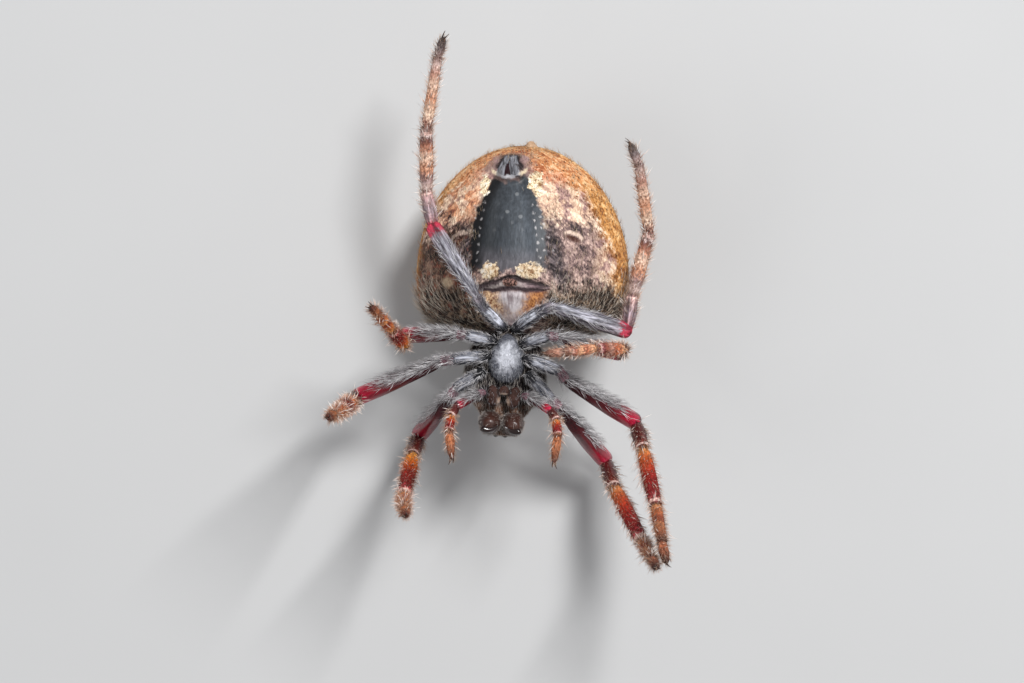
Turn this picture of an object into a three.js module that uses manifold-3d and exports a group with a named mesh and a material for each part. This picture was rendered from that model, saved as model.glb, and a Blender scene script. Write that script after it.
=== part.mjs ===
// Adult female orb weaver spider, a still life-size model that lies on its back.
// Millimetres, +Z up. The underside faces up, the head points to -Y, and the spider's
// left legs are at -X. Each piece is closed and kept apart from its neighbours by GAP.
import * as THREE from 'three';
import { mergeVertices } from 'three/addons/utils/BufferGeometryUtils.js';
import Module from 'manifold-3d';

const wasm = await Module();
wasm.setup();

const { cos, sin, sqrt, abs, sign, pow, max, min, PI } = Math;
const DEG = PI / 180;
const GAP = 0.06;
const LIMB_AXIS = new THREE.Vector3(0, 1, 0);
const UNSCALED = new THREE.Vector3(1, 1, 1);

// Abdomen: half sizes at its widest station, which lies ahead of the middle
const ABDOMEN = {
  centre: [0.45, 2.83, 3.45],
  halfWidth: 4.72,
  behind: 5.7,
  ahead: 2.85,
  belly: 3.5,
  back: 3.65,
  frontBluntness: 3.2,
  frontDepthBluntness: 2.3,
  bellyPinch: 0.14,
  tailDrop: 0.75,
  roll: -6,
  pitch: 5,
};
const TUBERCLE = { radius: 0.36, height: 0.1, sunk: 0.2 };

// Cephalothorax: sizes ahead of the waist, the narrow stalk that carries the abdomen
const WAIST = { at: [-0.13, 0.55, 5.75], turn: -4.5, radius: 0.26, length: 1.3 };
const CARAPACE = {
  length: 4.65,
  halfWidth: 1.82,
  headHalfWidth: 1.12,
  headStart: 0.52,
  depth: 1.75,
  rise: 0.35,
};
const STERNUM = { length: 2.35, halfWidth: 0.93, start: 0.1, base: 0.2, top: 1.0 };
const MOUTH_AHEAD = 2.62;

const CHELICERA = { length: 1.25, radius: 0.48, ahead: 3.98, out: 0.49, up: 0.1, lean: 8 };
const CHELICERA_TIP = 0.12;
// the hinge is out, along and forward of the end of the chelicera
const FANG = { length: 0.74, radius: 0.14, sweep: 80, toe: 20, out: 0.27, along: 0.21, forward: 0.14 };

// Eyes: radius, place ahead of the waist, out from the midline and down towards the back
const EYES = {
  front_median: { radius: 0.125, ahead: 4.55, out: 0.2, up: -0.48 },
  rear_median: { radius: 0.115, ahead: 4.38, out: 0.17, up: -0.92 },
  front_lateral: { radius: 0.095, ahead: 4.18, out: 0.84, up: -0.5 },
  rear_lateral: { radius: 0.095, ahead: 4.06, out: 0.9, up: -0.72 },
};

// Legs: each piece from the body outwards, its length in each pair, and its radii
const LEG_PIECES = ['coxa', 'trochanter', 'femur', 'patella', 'tibia', 'metatarsus', 'tarsus'];
const LEG_LENGTHS = {
  1: [1.35, 0.5, 4.6, 1.75, 3.4, 3.6, 1.25],
  2: [1.4, 0.5, 4.35, 1.55, 3.0, 3.3, 1.15],
  3: [1.1, 0.4, 2.85, 1.05, 1.8, 1.9, 0.9],
  4: [1.4, 0.55, 3.95, 1.5, 2.8, 3.1, 1.0],
};
const LEG_THICKNESS = { 1: 1.0, 2: 1.0, 3: 0.9, 4: 0.94 };
// from the start of each piece to its end, evenly spaced
const LEG_RADII = {
  coxa: [0.29, 0.32, 0.29],
  trochanter: [0.29, 0.27],
  femur: [0.28, 0.36, 0.43, 0.42],
  patella: [0.34, 0.37, 0.32],
  tibia: [0.32, 0.36, 0.35, 0.31],
  metatarsus: [0.3, 0.29, 0.26],
  tarsus: [0.25, 0.26, 0.2],
};

// Where each pair leaves the body, beside and ahead of the waist
const LEG_ROOTS = {
  1: { out: 1.08, ahead: 2.0, up: 0.6 },
  2: { out: 0.92, ahead: 1.25, up: 0.62 },
  3: { out: 0.7, ahead: 0.58, up: 0.6 },
  4: { out: 0.34, ahead: -0.08, up: 0.6 },
};

// The pose: compass heading (0 = +X, 90 = +Y) and rise of each piece, in degrees
const LEG_POSE = {
  leg1_left: [[-148, -30], [-125, 0], [-130, -62], [-107, 58], [-101, 60], [-75, 83], [-70, 80]],
  leg2_left: [[-175, 0], [-169, -25], [-157, -23], [-130, 78], [-140, 83], [-150, 85], [-145, 82]],
  leg3_left: [[168, 0], [176, -25], [180, -35], [-82, 66], [129, 63], [130, 61], [132, 70]],
  leg4_left: [[135, 38], [119, 15], [122, -27], [101, 0], [90, 17], [81, 0], [72, 38]],
  leg1_right: [[-48, -10], [-42, 0], [-49, -49], [-72, 47], [-63, 42], [-62, 79], [-64, 75]],
  leg2_right: [[-20, 5], [-54, -10], [-31, -36], [-75, 42], [-78, 35], [-83, 64], [-80, 44]],
  leg3_right: [[17, 10], [-11, -20], [-14, -13], [58, 79], [178, 49], [-174, 47], [-175, -20]],
  leg4_right: [[35, 32], [23, 0], [-18, -31], [81, 0], [75, 0], [99, 18], [114, 25]],
};

const PALP_LENGTHS = [0.35, 1.15, 0.6, 0.75, 1.25];
const PALP_RADII = [[0.21, 0.23], [0.23, 0.25], [0.25, 0.25], [0.25, 0.25], [0.25, 0.25, 0.16]];
const PALP_ROOT = { out: 0.82, ahead: 2.78, up: 0.85 };
const PALP_POSE = {
  pedipalp_left: [[-165, 30], [-150, 28], [-122, 42], [-98, 32], [-84, 22]],
  pedipalp_right: [[-20, 30], [-32, 26], [-58, 42], [-84, 32], [-98, 22]],
};

const COLOURS = {
  abdomen: 0x8f6a41,
  cephalothorax: 0x7d7a7c,
  grey: 0x8c8f98,
  crimson: 0x7d1526,
  orange: 0xc06a2c,
  darkRed: 0x4a1216,
  black: 0x17120f,
  eye: 0x0b0b0d,
};

// ---- solids ---------------------------------------------------------------

function solidOf(geometry) {
  const bare = geometry.clone();
  bare.deleteAttribute('normal');
  bare.deleteAttribute('uv');
  const welded = mergeVertices(bare, 1e-4);
  const corners = welded.index.array;
  const kept = [];
  for (let i = 0; i < corners.length; i += 3) {
    const [a, b, c] = [corners[i], corners[i + 1], corners[i + 2]];
    if (a !== b && b !== c && c !== a) kept.push(a, b, c);
  }
  return new wasm.Manifold(new wasm.Mesh({
    numProp: 3,
    vertProperties: new Float32Array(welded.attributes.position.array),
    triVerts: new Uint32Array(kept),
  }));
}

function geometryOf(solid) {
  const mesh = solid.getMesh();
  const geometry = new THREE.BufferGeometry();
  geometry.setAttribute('position', new THREE.BufferAttribute(mesh.vertProperties, 3));
  geometry.setIndex(new THREE.BufferAttribute(mesh.triVerts, 1));
  return geometry;
}

function join(geometries) {
  return geometryOf(geometries.map(solidOf).reduce((whole, next) => whole.add(next)));
}

function cut(geometry, tools) {
  const cutters = tools.map(solidOf);
  return geometryOf(cutters.reduce((rest, tool) => rest.subtract(tool), solidOf(geometry)));
}

// Moves every corner of a geometry with place(x, y, z), which returns the new x, y, z.
function reshape(geometry, place) {
  const corners = geometry.attributes.position;
  for (let i = 0; i < corners.count; i += 1) {
    corners.setXYZ(i, ...place(corners.getX(i), corners.getY(i), corners.getZ(i)));
  }
  return geometry;
}

// A box whose near face passes through a point, and which fills the space on the side
// that the direction points to.
function halfSpace(point, direction, size = 4) {
  const box = new THREE.BoxGeometry(size, size, size);
  box.translate(0, size / 2, 0);
  const turn = new THREE.Quaternion().setFromUnitVectors(LIMB_AXIS, direction);
  box.applyQuaternion(turn);
  return box.translate(...point);
}

// A body of revolution along +Y with round ends about its first and last joint. The
// stations are [distance, radius] pairs.
function limbPiece(stations, sides, swell = 0) {
  const grown = stations.map(([distance, radius]) => [distance, radius + swell]);
  const [[, first], [length, last]] = [grown[0], grown[grown.length - 1]];
  const slant = Math.SQRT1_2;
  const profile = [
    new THREE.Vector2(0, -first),
    new THREE.Vector2(first * slant, -first * slant),
    ...grown.map(([distance, radius]) => new THREE.Vector2(radius, distance)),
    new THREE.Vector2(last * slant, length + last * slant),
    new THREE.Vector2(0, length + last),
  ];
  return new THREE.LatheGeometry(profile, sides);
}

// Stations for radii that are evenly spaced over a length
function evenStations(length, radii, from = 0) {
  return radii.map((radius, i) => [from + (length * i) / (radii.length - 1), radius]);
}

function headingVector([heading, rise]) {
  const flat = cos(rise * DEG);
  return new THREE.Vector3(
    flat * cos(heading * DEG),
    flat * sin(heading * DEG),
    sin(rise * DEG),
  );
}

// ---- scene pieces -----------------------------------------------------------

const spider = new THREE.Group();
const foreBody = new THREE.Group();
foreBody.position.set(...WAIST.at);
foreBody.rotation.z = WAIST.turn * DEG;
spider.add(foreBody);
spider.updateMatrixWorld(true);

// Adds a named mesh. build(swell) gives the shape, grown by swell all round, and the
// grown shape is kept so that neighbours can be cut clear of it.
function addPiece(parent, name, colour, build, options = {}) {
  const { at = [0, 0, 0], turn = new THREE.Quaternion(), gloss = 0.6 } = options;
  const material = new THREE.MeshStandardMaterial({
    color: colour,
    roughness: gloss,
    metalness: 0,
  });
  const mesh = new THREE.Mesh(build(0), material);
  mesh.name = name;
  mesh.position.set(...at);
  mesh.quaternion.copy(turn);
  parent.add(mesh);
  mesh.updateWorldMatrix(true, false);
  mesh.userData.room = build(GAP).applyMatrix4(mesh.matrixWorld);
  return mesh;
}

function keepClear(mesh, neighbours) {
  const home = mesh.matrixWorld.clone().invert();
  const tools = neighbours.map((other) => other.userData.room.clone().applyMatrix4(home));
  mesh.geometry = cut(mesh.geometry, tools);
}

// ---- abdomen ----------------------------------------------------------------

// A point of the abdomen's skin from a point of the unit sphere, in the abdomen's frame.
function abdomenSkin(x, y, z, swell) {
  const ring = sqrt(max(1 - y * y, 0));
  const across = ring > 0 ? x / ring : 0;
  const up = ring > 0 ? z / ring : 0;
  const fullness = (blunt) => (y > 0 ? ring : pow(max(1 - pow(-y, blunt), 0), 1 / blunt));
  const reach = y > 0 ? ABDOMEN.behind : ABDOMEN.ahead;
  const height = up > 0 ? ABDOMEN.belly : ABDOMEN.back;
  const width = (ABDOMEN.halfWidth + swell) * (1 - ABDOMEN.bellyPinch * max(up, 0));
  return [
    width * fullness(ABDOMEN.frontBluntness) * across,
    (reach + swell) * y,
    (height + swell) * fullness(ABDOMEN.frontDepthBluntness) * up - ABDOMEN.tailDrop * max(y, 0) ** 2,
  ];
}

function tubercle(across, up) {
  const behind = sqrt(1 - across * across - up * up);
  const [x, y, z] = abdomenSkin(across, behind, up, 0);
  const { radius, height, sunk } = TUBERCLE;
  const knob = new THREE.SphereGeometry(1, 7, 5).scale(radius, radius + height, radius);
  const outwards = new THREE.Vector3(across, behind, up).normalize();
  knob.applyQuaternion(new THREE.Quaternion().setFromUnitVectors(LIMB_AXIS, outwards));
  return knob.translate(x, y, z).translate(...outwards.multiplyScalar(-sunk));
}

function abdomenShape(swell) {
  const body = reshape(new THREE.SphereGeometry(1, 26, 17), (x, y, z) => abdomenSkin(x, y, z, swell));
  const knobs = [[0, 0.02], [0.27, -0.2], [-0.27, -0.2], [0, -0.3], [0, -0.58]];
  return join([body, ...knobs.map(([across, up]) => tubercle(across, up))]);
}

const abdomenTurn = new THREE.Quaternion().setFromEuler(
  new THREE.Euler(ABDOMEN.pitch * DEG, ABDOMEN.roll * DEG, 0),
);
const abdomen = addPiece(spider, 'abdomen', COLOURS.abdomen, abdomenShape, {
  at: ABDOMEN.centre,
  turn: abdomenTurn,
  gloss: 0.8,
});

// Six short cones round a low mound, and the little knob behind them
function spinneretShape(swell) {
  const mound = new THREE.SphereGeometry(0.52 + swell, 10, 5).scale(1, 1, 0.5);
  const cones = [];
  for (const side of [-1, 1]) {
    for (const [out, back, length] of [[0.25, -0.2, 0.55], [0.2, 0.22, 0.5]]) {
      const cone = limbPiece(evenStations(length, [0.2, 0.17, 0.1]), 6, swell);
      cone.rotateX(80 * DEG).translate(side * out, back, 0.02);
      cones.push(cone);
    }
  }
  const knob = limbPiece([[0, 0.16], [0.2, 0.12]], 6, swell);
  knob.rotateX(60 * DEG).translate(0, 0.5, 0);
  return join([mound, ...cones, knob]);
}

const spinneretSeat = new THREE.Vector3(...abdomenSkin(-0.05, 0.8, 0.598, 0));
spinneretSeat.applyQuaternion(abdomenTurn).add(abdomen.position);
const spinnerets = addPiece(spider, 'spinnerets', COLOURS.darkRed, spinneretShape, {
  at: spinneretSeat.toArray(),
  turn: new THREE.Quaternion().setFromEuler(new THREE.Euler(-32 * DEG, ABDOMEN.roll * DEG, 0)),
});

// ---- cephalothorax ------------------------------------------------------------

function carapaceHalfWidth(along) {
  const { halfWidth, headHalfWidth, headStart } = CARAPACE;
  const blend = THREE.MathUtils.smoothstep(along, headStart, 0.86);
  return THREE.MathUtils.lerp(halfWidth, headHalfWidth, blend);
}

function carapaceSkin(x, y, z, swell) {
  const ring = sqrt(max(1 - y * y, 0));
  const along = (1 - y) / 2;
  const blunt = 2.6;
  const fullness = pow(max(1 - pow(abs(y), blunt), 0), 1 / blunt);
  const across = ring > 0 ? x / ring : 0;
  const up = ring > 0 ? z / ring : 0;
  const height = up > 0 ? CARAPACE.rise : CARAPACE.depth;
  const squared = sign(across) * pow(abs(across), 0.85);
  return [
    (carapaceHalfWidth(along) + swell) * fullness * squared,
    (CARAPACE.length / 2 + swell) * y - CARAPACE.length / 2,
    (height + swell) * fullness * up,
  ];
}

function sternumSkin(x, y, z, swell) {
  const taper = 1 - 0.35 * max(y, 0);
  return [
    (STERNUM.halfWidth + swell) * x * taper,
    (STERNUM.length / 2 + swell) * y - STERNUM.start - STERNUM.length / 2,
    z > 0 ? STERNUM.base + (STERNUM.top - STERNUM.base + swell) * pow(z, 0.7) : -0.3 + z * 0.3,
  ];
}

function cephalothoraxShape(swell) {
  const carapace = reshape(
    new THREE.SphereGeometry(1, 20, 13),
    (x, y, z) => carapaceSkin(x, y, z, swell),
  );
  const sternum = reshape(
    new THREE.SphereGeometry(1, 14, 8),
    (x, y, z) => sternumSkin(x, y, z, swell),
  );
  const stalk = limbPiece([[0, WAIST.radius], [WAIST.length, WAIST.radius]], 8, swell);
  stalk.translate(0, -0.3, -0.05);
  return join([carapace, sternum, stalk]);
}

const cephalothorax = addPiece(
  foreBody, 'cephalothorax', COLOURS.cephalothorax, cephalothoraxShape,
);

const eyes = [];
for (const [eyeName, eye] of Object.entries(EYES)) {
  for (const [sideName, side] of [['left', -1], ['right', 1]]) {
    const build = (swell) => new THREE.SphereGeometry(eye.radius + swell, 7, 5);
    const at = [side * eye.out, -eye.ahead, eye.up];
    eyes.push(addPiece(foreBody, `eye_${eyeName}_${sideName}`, COLOURS.eye, build, { at, gloss: 0.1 }));
  }
}

// ---- mouth: lip and jaw bases, chelicerae and fangs ---------------------------

function mouthShape(swell) {
  const lobe = (width, length, height, out, ahead) => (
    new THREE.SphereGeometry(1, 10, 6)
      .scale(width + swell, length + swell, height + swell)
      .translate(out, -ahead, 0.72)
  );
  return join([
    lobe(0.36, 0.3, 0.22, 0, MOUTH_AHEAD),
    lobe(0.36, 0.52, 0.3, 0.46, MOUTH_AHEAD + 0.28),
    lobe(0.36, 0.52, 0.3, -0.46, MOUTH_AHEAD + 0.28),
  ]);
}

const mouthparts = addPiece(foreBody, 'mouthparts', COLOURS.grey, mouthShape);

const chelicerae = [];
const fangs = [];

function cheliceraShape(swell) {
  const { length, radius } = CHELICERA;
  const radii = [0.92, 1, 0.9, 0.66].map((share) => share * radius);
  const rounded = limbPiece(evenStations(length, radii), 9, swell);
  return reshape(rounded, (x, y, z) => [x, min(y, length + CHELICERA_TIP + swell), z]);
}

// A tapering horn along +Y that curls towards +X
function fangShape(swell) {
  const { length, radius, sweep } = FANG;
  const bendRadius = length / (sweep * DEG);
  const radii = [1, 0.9, 0.65, 0.2].map((share) => share * radius);
  const horn = limbPiece(evenStations(length, radii), 6, swell);
  return reshape(horn, (x, y, z) => {
    const angle = y / bendRadius;
    const reach = bendRadius - x;
    return [bendRadius - reach * cos(angle), reach * sin(angle), z];
  });
}

for (const [sideName, side] of [['left', -1], ['right', 1]]) {
  const { length, ahead, out, up, lean } = CHELICERA;
  const upright = new THREE.Quaternion().setFromEuler(
    new THREE.Euler((90 + lean) * DEG, side * 3 * DEG, 0),
  );
  chelicerae.push(addPiece(
    foreBody, `chelicera_${sideName}`, COLOURS.darkRed, cheliceraShape,
    { at: [side * out, -ahead, up], turn: upright, gloss: 0.35 },
  ));
  const seat = new THREE.Vector3(side * FANG.out, length + FANG.along, FANG.forward);
  const hinge = seat.applyQuaternion(upright).add(chelicerae.at(-1).position);
  const inward = new THREE.Quaternion().setFromEuler(
    new THREE.Euler(-90 * DEG, side * (90 + FANG.toe) * DEG, 0, 'YXZ'),
  );
  const curl = (swell) => (side < 0 ? fangShape(swell).rotateY(PI) : fangShape(swell));
  fangs.push(addPiece(
    foreBody, `fang_${sideName}`, COLOURS.black, curl,
    { at: hinge.toArray(), turn: upright.clone().multiply(inward), gloss: 0.25 },
  ));
}

// ---- legs ---------------------------------------------------------------------

const JOINT_TOLERANCE = 1e-4;

function bisector(before, after) {
  return before.clone().add(after).normalize();
}

// The straight links of a limb, end to end, each turned from the last without a twist
function limbChain(root, lengths, radii, pose) {
  const joint = root.clone();
  const links = [];
  lengths.forEach((length, i) => {
    const direction = headingVector(pose[i]);
    const bend = new THREE.Quaternion();
    if (i === 0) bend.setFromUnitVectors(LIMB_AXIS, direction);
    else bend.setFromUnitVectors(links[i - 1].direction, direction).multiply(links[i - 1].turn);
    links.push({ start: joint.clone(), direction, turn: bend, length, radii: radii[i] });
    joint.addScaledVector(direction, length);
  });
  return links;
}

// Bends a straight limb piece along its links. Rings at a joint lean half way over.
function bendAlong(straight, links) {
  const home = links[0].turn.clone().invert();
  let reach = 0;
  const spans = links.map((link) => {
    const origin = link.start.clone().sub(links[0].start).applyQuaternion(home);
    const span = { from: reach, turn: home.clone().multiply(link.turn), origin };
    reach += link.length;
    return span;
  });
  return reshape(straight, (x, y, z) => {
    const k = max(spans.findLastIndex((span) => y > span.from - JOINT_TOLERANCE), 0);
    const { from, turn, origin } = spans[k];
    const atJoint = k > 0 && y - from < JOINT_TOLERANCE;
    const lean = atJoint ? turn.clone().slerp(spans[k - 1].turn, 0.5) : turn;
    const along = new THREE.Vector3(0, y - from, 0).applyQuaternion(turn);
    return new THREE.Vector3(x, 0, z).applyQuaternion(lean).add(along).add(origin).toArray();
  });
}

function limbStations(links) {
  const stations = [];
  let reach = 0;
  for (const { length, radii } of links) {
    stations.push(...evenStations(length, radii, reach).slice(stations.length ? 1 : 0));
    reach += length;
  }
  return stations;
}

// Neighbouring links as one shape in the first link's frame, cut at the half-angle
// planes where it meets the links before and after.
function linkShape(links, before, after, sides, swell) {
  const shape = bendAlong(limbPiece(limbStations(links), sides, swell), links);
  const home = new THREE.Matrix4().compose(links[0].start, links[0].turn, UNSCALED).invert();
  const tools = [];
  const meetingPlane = (point, back, front) => {
    const normal = bisector(back, front);
    const near = point.clone().addScaledVector(normal, swell - GAP / 2).applyMatrix4(home);
    tools.push(halfSpace(near, normal.transformDirection(home)));
  };
  if (before) {
    const [back, front] = [links[0].direction, before.direction];
    meetingPlane(links[0].start, back.clone().negate(), front.clone().negate());
  }
  if (after) {
    meetingPlane(after.start, links[links.length - 1].direction, after.direction);
  }
  return tools.length ? cut(shape, tools) : shape;
}

const LEG_NODES = [
  { name: 'coxa', first: 0, last: 1, colour: COLOURS.grey },
  { name: 'femur', first: 2, last: 2, colour: COLOURS.crimson },
  { name: 'patella', first: 3, last: 3, colour: COLOURS.darkRed },
  { name: 'tibia', first: 4, last: 4, colour: COLOURS.orange },
  { name: 'tarsus', first: 5, last: 6, colour: COLOURS.orange },
];
const LIMB_SIDES = 8;

function buildLeg(legName, pose) {
  const pair = Number(legName[3]);
  const side = legName.endsWith('left') ? -1 : 1;
  const { out, ahead, up } = LEG_ROOTS[pair];
  const root = foreBody.localToWorld(new THREE.Vector3(side * out, -ahead, up));
  const thickened = (piece) => LEG_RADII[piece].map((radius) => radius * LEG_THICKNESS[pair]);
  const chain = limbChain(root, LEG_LENGTHS[pair], LEG_PIECES.map(thickened), pose);
  const leg = {};
  for (const { name, first, last, colour } of LEG_NODES) {
    const links = chain.slice(first, last + 1);
    const build = (swell) => linkShape(links, chain[first - 1], chain[last + 1], LIMB_SIDES, swell);
    leg[name] = addPiece(spider, `${legName}_${name}`, colour, build, {
      at: links[0].start.toArray(),
      turn: links[0].turn,
    });
  }
  return leg;
}

const legs = {};
for (const [legName, pose] of Object.entries(LEG_POSE)) {
  legs[legName] = buildLeg(legName, pose);
}

function buildPalp(palpName, pose) {
  const side = palpName.endsWith('left') ? -1 : 1;
  const { out, ahead, up } = PALP_ROOT;
  const root = foreBody.localToWorld(new THREE.Vector3(side * out, -ahead, up));
  const chain = limbChain(root, PALP_LENGTHS, PALP_RADII, pose);
  const build = (swell) => linkShape(chain, null, null, LIMB_SIDES, swell);
  return addPiece(spider, palpName, COLOURS.orange, build, {
    at: root.toArray(),
    turn: chain[0].turn,
  });
}

const palps = Object.entries(PALP_POSE).map(([palpName, pose]) => buildPalp(palpName, pose));

// ---- clearances -----------------------------------------------------------------

const coxae = Object.values(legs).map((leg) => leg.coxa);
keepClear(cephalothorax, eyes);
coxae.forEach((coxa, i) => {
  keepClear(coxa, [cephalothorax, ...coxae.slice(0, i)]);
});
keepClear(mouthparts, [cephalothorax, legs.leg1_left.coxa, legs.leg1_right.coxa]);
for (const chelicera of chelicerae) keepClear(chelicera, [cephalothorax, mouthparts]);
fangs.forEach((fang, i) => keepClear(fang, [chelicerae[i]]));
for (const palp of palps) keepClear(palp, [mouthparts, ...chelicerae, ...coxae]);

const nearAbdomen = [spinnerets, cephalothorax, ...coxae];
for (const leg of [legs.leg3_left, legs.leg3_right, legs.leg4_left, legs.leg4_right]) {
  nearAbdomen.push(leg.femur);
}
keepClear(abdomen, nearAbdomen);

// The back of the abdomen rests flat on the ground, at z = 0
const ground = halfSpace(new THREE.Vector3(0, 2, 0), new THREE.Vector3(0, 0, -1), 20);
abdomen.geometry = cut(abdomen.geometry, [ground.applyMatrix4(abdomen.matrixWorld.clone().invert())]);

// The origin is under the middle of the whole spider
const bounds = new THREE.Box3().setFromObject(spider, true);
const middle = bounds.getCenter(new THREE.Vector3());
spider.position.set(-middle.x, -middle.y, -bounds.min.z);

export default spider;
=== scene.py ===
"""Adult female orb weaver spider, life size, lying on its back.

Everything is worked in millimetres and scaled to metres when a piece is finished. +Z is
up, the way the underside faces; the head points to -Y and the left legs are at -X.
"""
from math import cos, pi, radians, sin

import bmesh
import bpy
import numpy as np
from mathutils import Euler, Matrix, Vector
from mathutils.bvhtree import BVHTree


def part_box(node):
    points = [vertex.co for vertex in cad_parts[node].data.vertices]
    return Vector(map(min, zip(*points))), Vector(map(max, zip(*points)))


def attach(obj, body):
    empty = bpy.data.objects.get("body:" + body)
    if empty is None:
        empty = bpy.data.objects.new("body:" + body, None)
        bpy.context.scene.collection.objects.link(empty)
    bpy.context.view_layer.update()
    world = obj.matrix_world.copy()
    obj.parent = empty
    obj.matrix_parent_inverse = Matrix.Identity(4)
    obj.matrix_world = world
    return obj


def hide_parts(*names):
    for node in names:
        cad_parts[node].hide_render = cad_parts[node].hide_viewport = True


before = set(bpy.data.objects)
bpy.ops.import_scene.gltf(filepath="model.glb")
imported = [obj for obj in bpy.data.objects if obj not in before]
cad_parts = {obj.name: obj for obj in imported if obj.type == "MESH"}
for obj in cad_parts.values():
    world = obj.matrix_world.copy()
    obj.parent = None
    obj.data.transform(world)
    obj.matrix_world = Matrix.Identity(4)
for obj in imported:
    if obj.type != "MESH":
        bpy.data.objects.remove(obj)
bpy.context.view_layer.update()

MM = 0.001
AXIS = Vector((0, 0, 1))

# ---- sizes, in millimetres ---------------------------------------------------------

MIDDLE = Vector((0.5549, -1.7142, 0.0))   # the lens looks down on this point

BODY_COAT = 0.12                           # how far the skin stays inside the outline, for its hair
FORE_COAT = 0.08
LEG_COAT = 0.04
PALP_COAT = 0.05
JAW_COAT = 0.025
SKIN_VOXEL = 0.075                         # how finely the skin of the trunk is rebuilt
SKIN_SOFTENINGS = 3
SKIN_CLEARANCE = 0.035                     # the least height of the skin and of its hair
HAIR_CLEARANCE = 0.005
BALD_HEIGHT = 0.25                         # no hair grows lower, where the body rests

ABDOMEN = dict(
    centre=Vector((0.45, 2.83, 3.45)) + MIDDLE,
    half_width=4.72,
    behind=5.7,
    ahead=2.85,
    belly=3.5,
    back=3.65,
    front_bluntness=3.2,
    front_depth_bluntness=2.3,
    belly_pinch=0.14,
    tail_drop=0.75,
)
ABDOMEN_TURN = Euler((radians(5), radians(-6), 0)).to_matrix()
KNOBS = [(0.08, 0.02), (0.3, -0.36), (-0.3, -0.36), (0, -0.34), (0, -0.62)]   # across and up

EYE_NODES = [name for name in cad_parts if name.startswith("eye_")]
WAIST = Vector((-0.13, 0.55, 5.75)) + MIDDLE
FORE_TURN = Matrix.Rotation(radians(-4.5), 3, "Z")
CARAPACE = dict(length=4.65, half_width=1.82, head_half_width=1.12, head_start=0.52,
                depth=1.75, rise=0.35)
STERNUM = dict(length=2.35, half_width=0.93, start=0.1, base=0.2, top=1.0)
MOUTH_AHEAD = 2.62
CHELICERA = dict(length=1.25, radius=0.48, ahead=3.98, out=0.49, up=0.1, lean=8)
FANG = dict(length=0.74, radius=0.14, sweep=80, toe=20, hinge=(0.27, -0.14, 0.21))

COXA, TROCHANTER, FEMUR, PATELLA, TIBIA, METATARSUS, TARSUS = SEGMENTS = range(7)
HIND_PAIR = 4
PALP_PAIR = 5
LEG_LENGTHS = {
    1: [1.35, 0.5, 4.6, 1.75, 3.4, 3.6, 1.25],
    2: [1.4, 0.5, 4.35, 1.55, 3.0, 3.3, 1.15],
    3: [1.1, 0.4, 2.85, 1.05, 1.8, 1.9, 0.9],
    4: [1.4, 0.55, 3.95, 1.5, 2.8, 3.1, 1.0],
}
LEG_THICKNESS = {1: 1.0, 2: 1.0, 3: 0.9, 4: 0.94}
GRAIN_STARTS = [0, 1.4, 1.9, 6.5, 8.25, 11.65, 15.25]   # keeps the texture of each segment its own
LEG_RADII = [
    [0.29, 0.32, 0.29],
    [0.29, 0.27],
    [0.28, 0.36, 0.43, 0.42],
    [0.34, 0.37, 0.32],
    [0.32, 0.36, 0.35, 0.31],
    [0.3, 0.29, 0.26],
    [0.25, 0.26, 0.2],
]
LEG_ROOTS = {1: (1.08, 2.0, 0.6), 2: (0.92, 1.25, 0.62), 3: (0.7, 0.58, 0.6), 4: (0.34, -0.08, 0.6)}
LEG_POSE = {
    "leg1_left": [(-148, -30), (-125, 0), (-130, -62), (-107, 58), (-101, 60), (-75, 83), (-70, 80)],
    "leg2_left": [(-175, 0), (-169, -25), (-157, -23), (-130, 78), (-140, 83), (-150, 85), (-145, 82)],
    "leg3_left": [(168, 0), (176, -25), (180, -35), (-82, 66), (129, 63), (130, 61), (132, 70)],
    "leg4_left": [(135, 38), (119, 15), (122, -27), (101, 0), (90, 17), (81, 0), (72, 38)],
    "leg1_right": [(-48, -10), (-42, 0), (-49, -49), (-72, 47), (-63, 42), (-62, 79), (-64, 75)],
    "leg2_right": [(-20, 5), (-54, -10), (-31, -36), (-75, 42), (-78, 35), (-83, 64), (-80, 44)],
    "leg3_right": [(17, 10), (-11, -20), (-14, -13), (58, 79), (178, 49), (-174, 47), (-175, -20)],
    "leg4_right": [(35, 32), (23, 0), (-18, -31), (81, 0), (75, 0), (99, 18), (114, 25)],
}
WARMTH = {                                 # how orange the outer segments are
    "leg1_left": 1.0, "leg2_left": 1.0, "leg3_left": 0.75, "leg4_left": 0.0,
    "leg1_right": 0.0, "leg2_right": 0.08, "leg3_right": 1.0, "leg4_right": 0.0,
    "pedipalp_left": 0.65, "pedipalp_right": 0.65,
}
RINGED = {"leg3_right": 0.45}              # how far its ends take the hind legs' cream rings
PALP_LENGTHS = [0.35, 1.15, 0.6, 0.75, 1.25]
PALP_RADII = [[0.21, 0.23], [0.23, 0.25], [0.25, 0.25], [0.25, 0.25], [0.25, 0.25, 0.16]]
PALP_ROOT = (0.82, 2.78, 0.85)
PALP_POSE = {
    "pedipalp_left": [(-165, 30), (-150, 28), (-122, 42), (-98, 32), (-84, 22)],
    "pedipalp_right": [(-20, 30), (-32, 26), (-58, 42), (-84, 32), (-98, 22)],
}
PALP_SEGMENTS = [TROCHANTER, FEMUR, PATELLA, TIBIA, TARSUS]    # the leg segments they look like


# ---- small helpers -----------------------------------------------------------------

def blend(a, b, t):
    """From a to b as t goes from 0 to 1."""
    return a + (b - a) * t


def smooth(value, low, high):
    """0 at low and 1 at high, with an easy slope between; low may be the greater."""
    t = np.clip((value - low) / (high - low), 0, 1)
    return t * t * (3 - 2 * t)


def unit(rows):
    """The same directions, each of length 1."""
    return rows / np.maximum(np.linalg.norm(rows, axis=1, keepdims=True), 1e-9)


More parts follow.
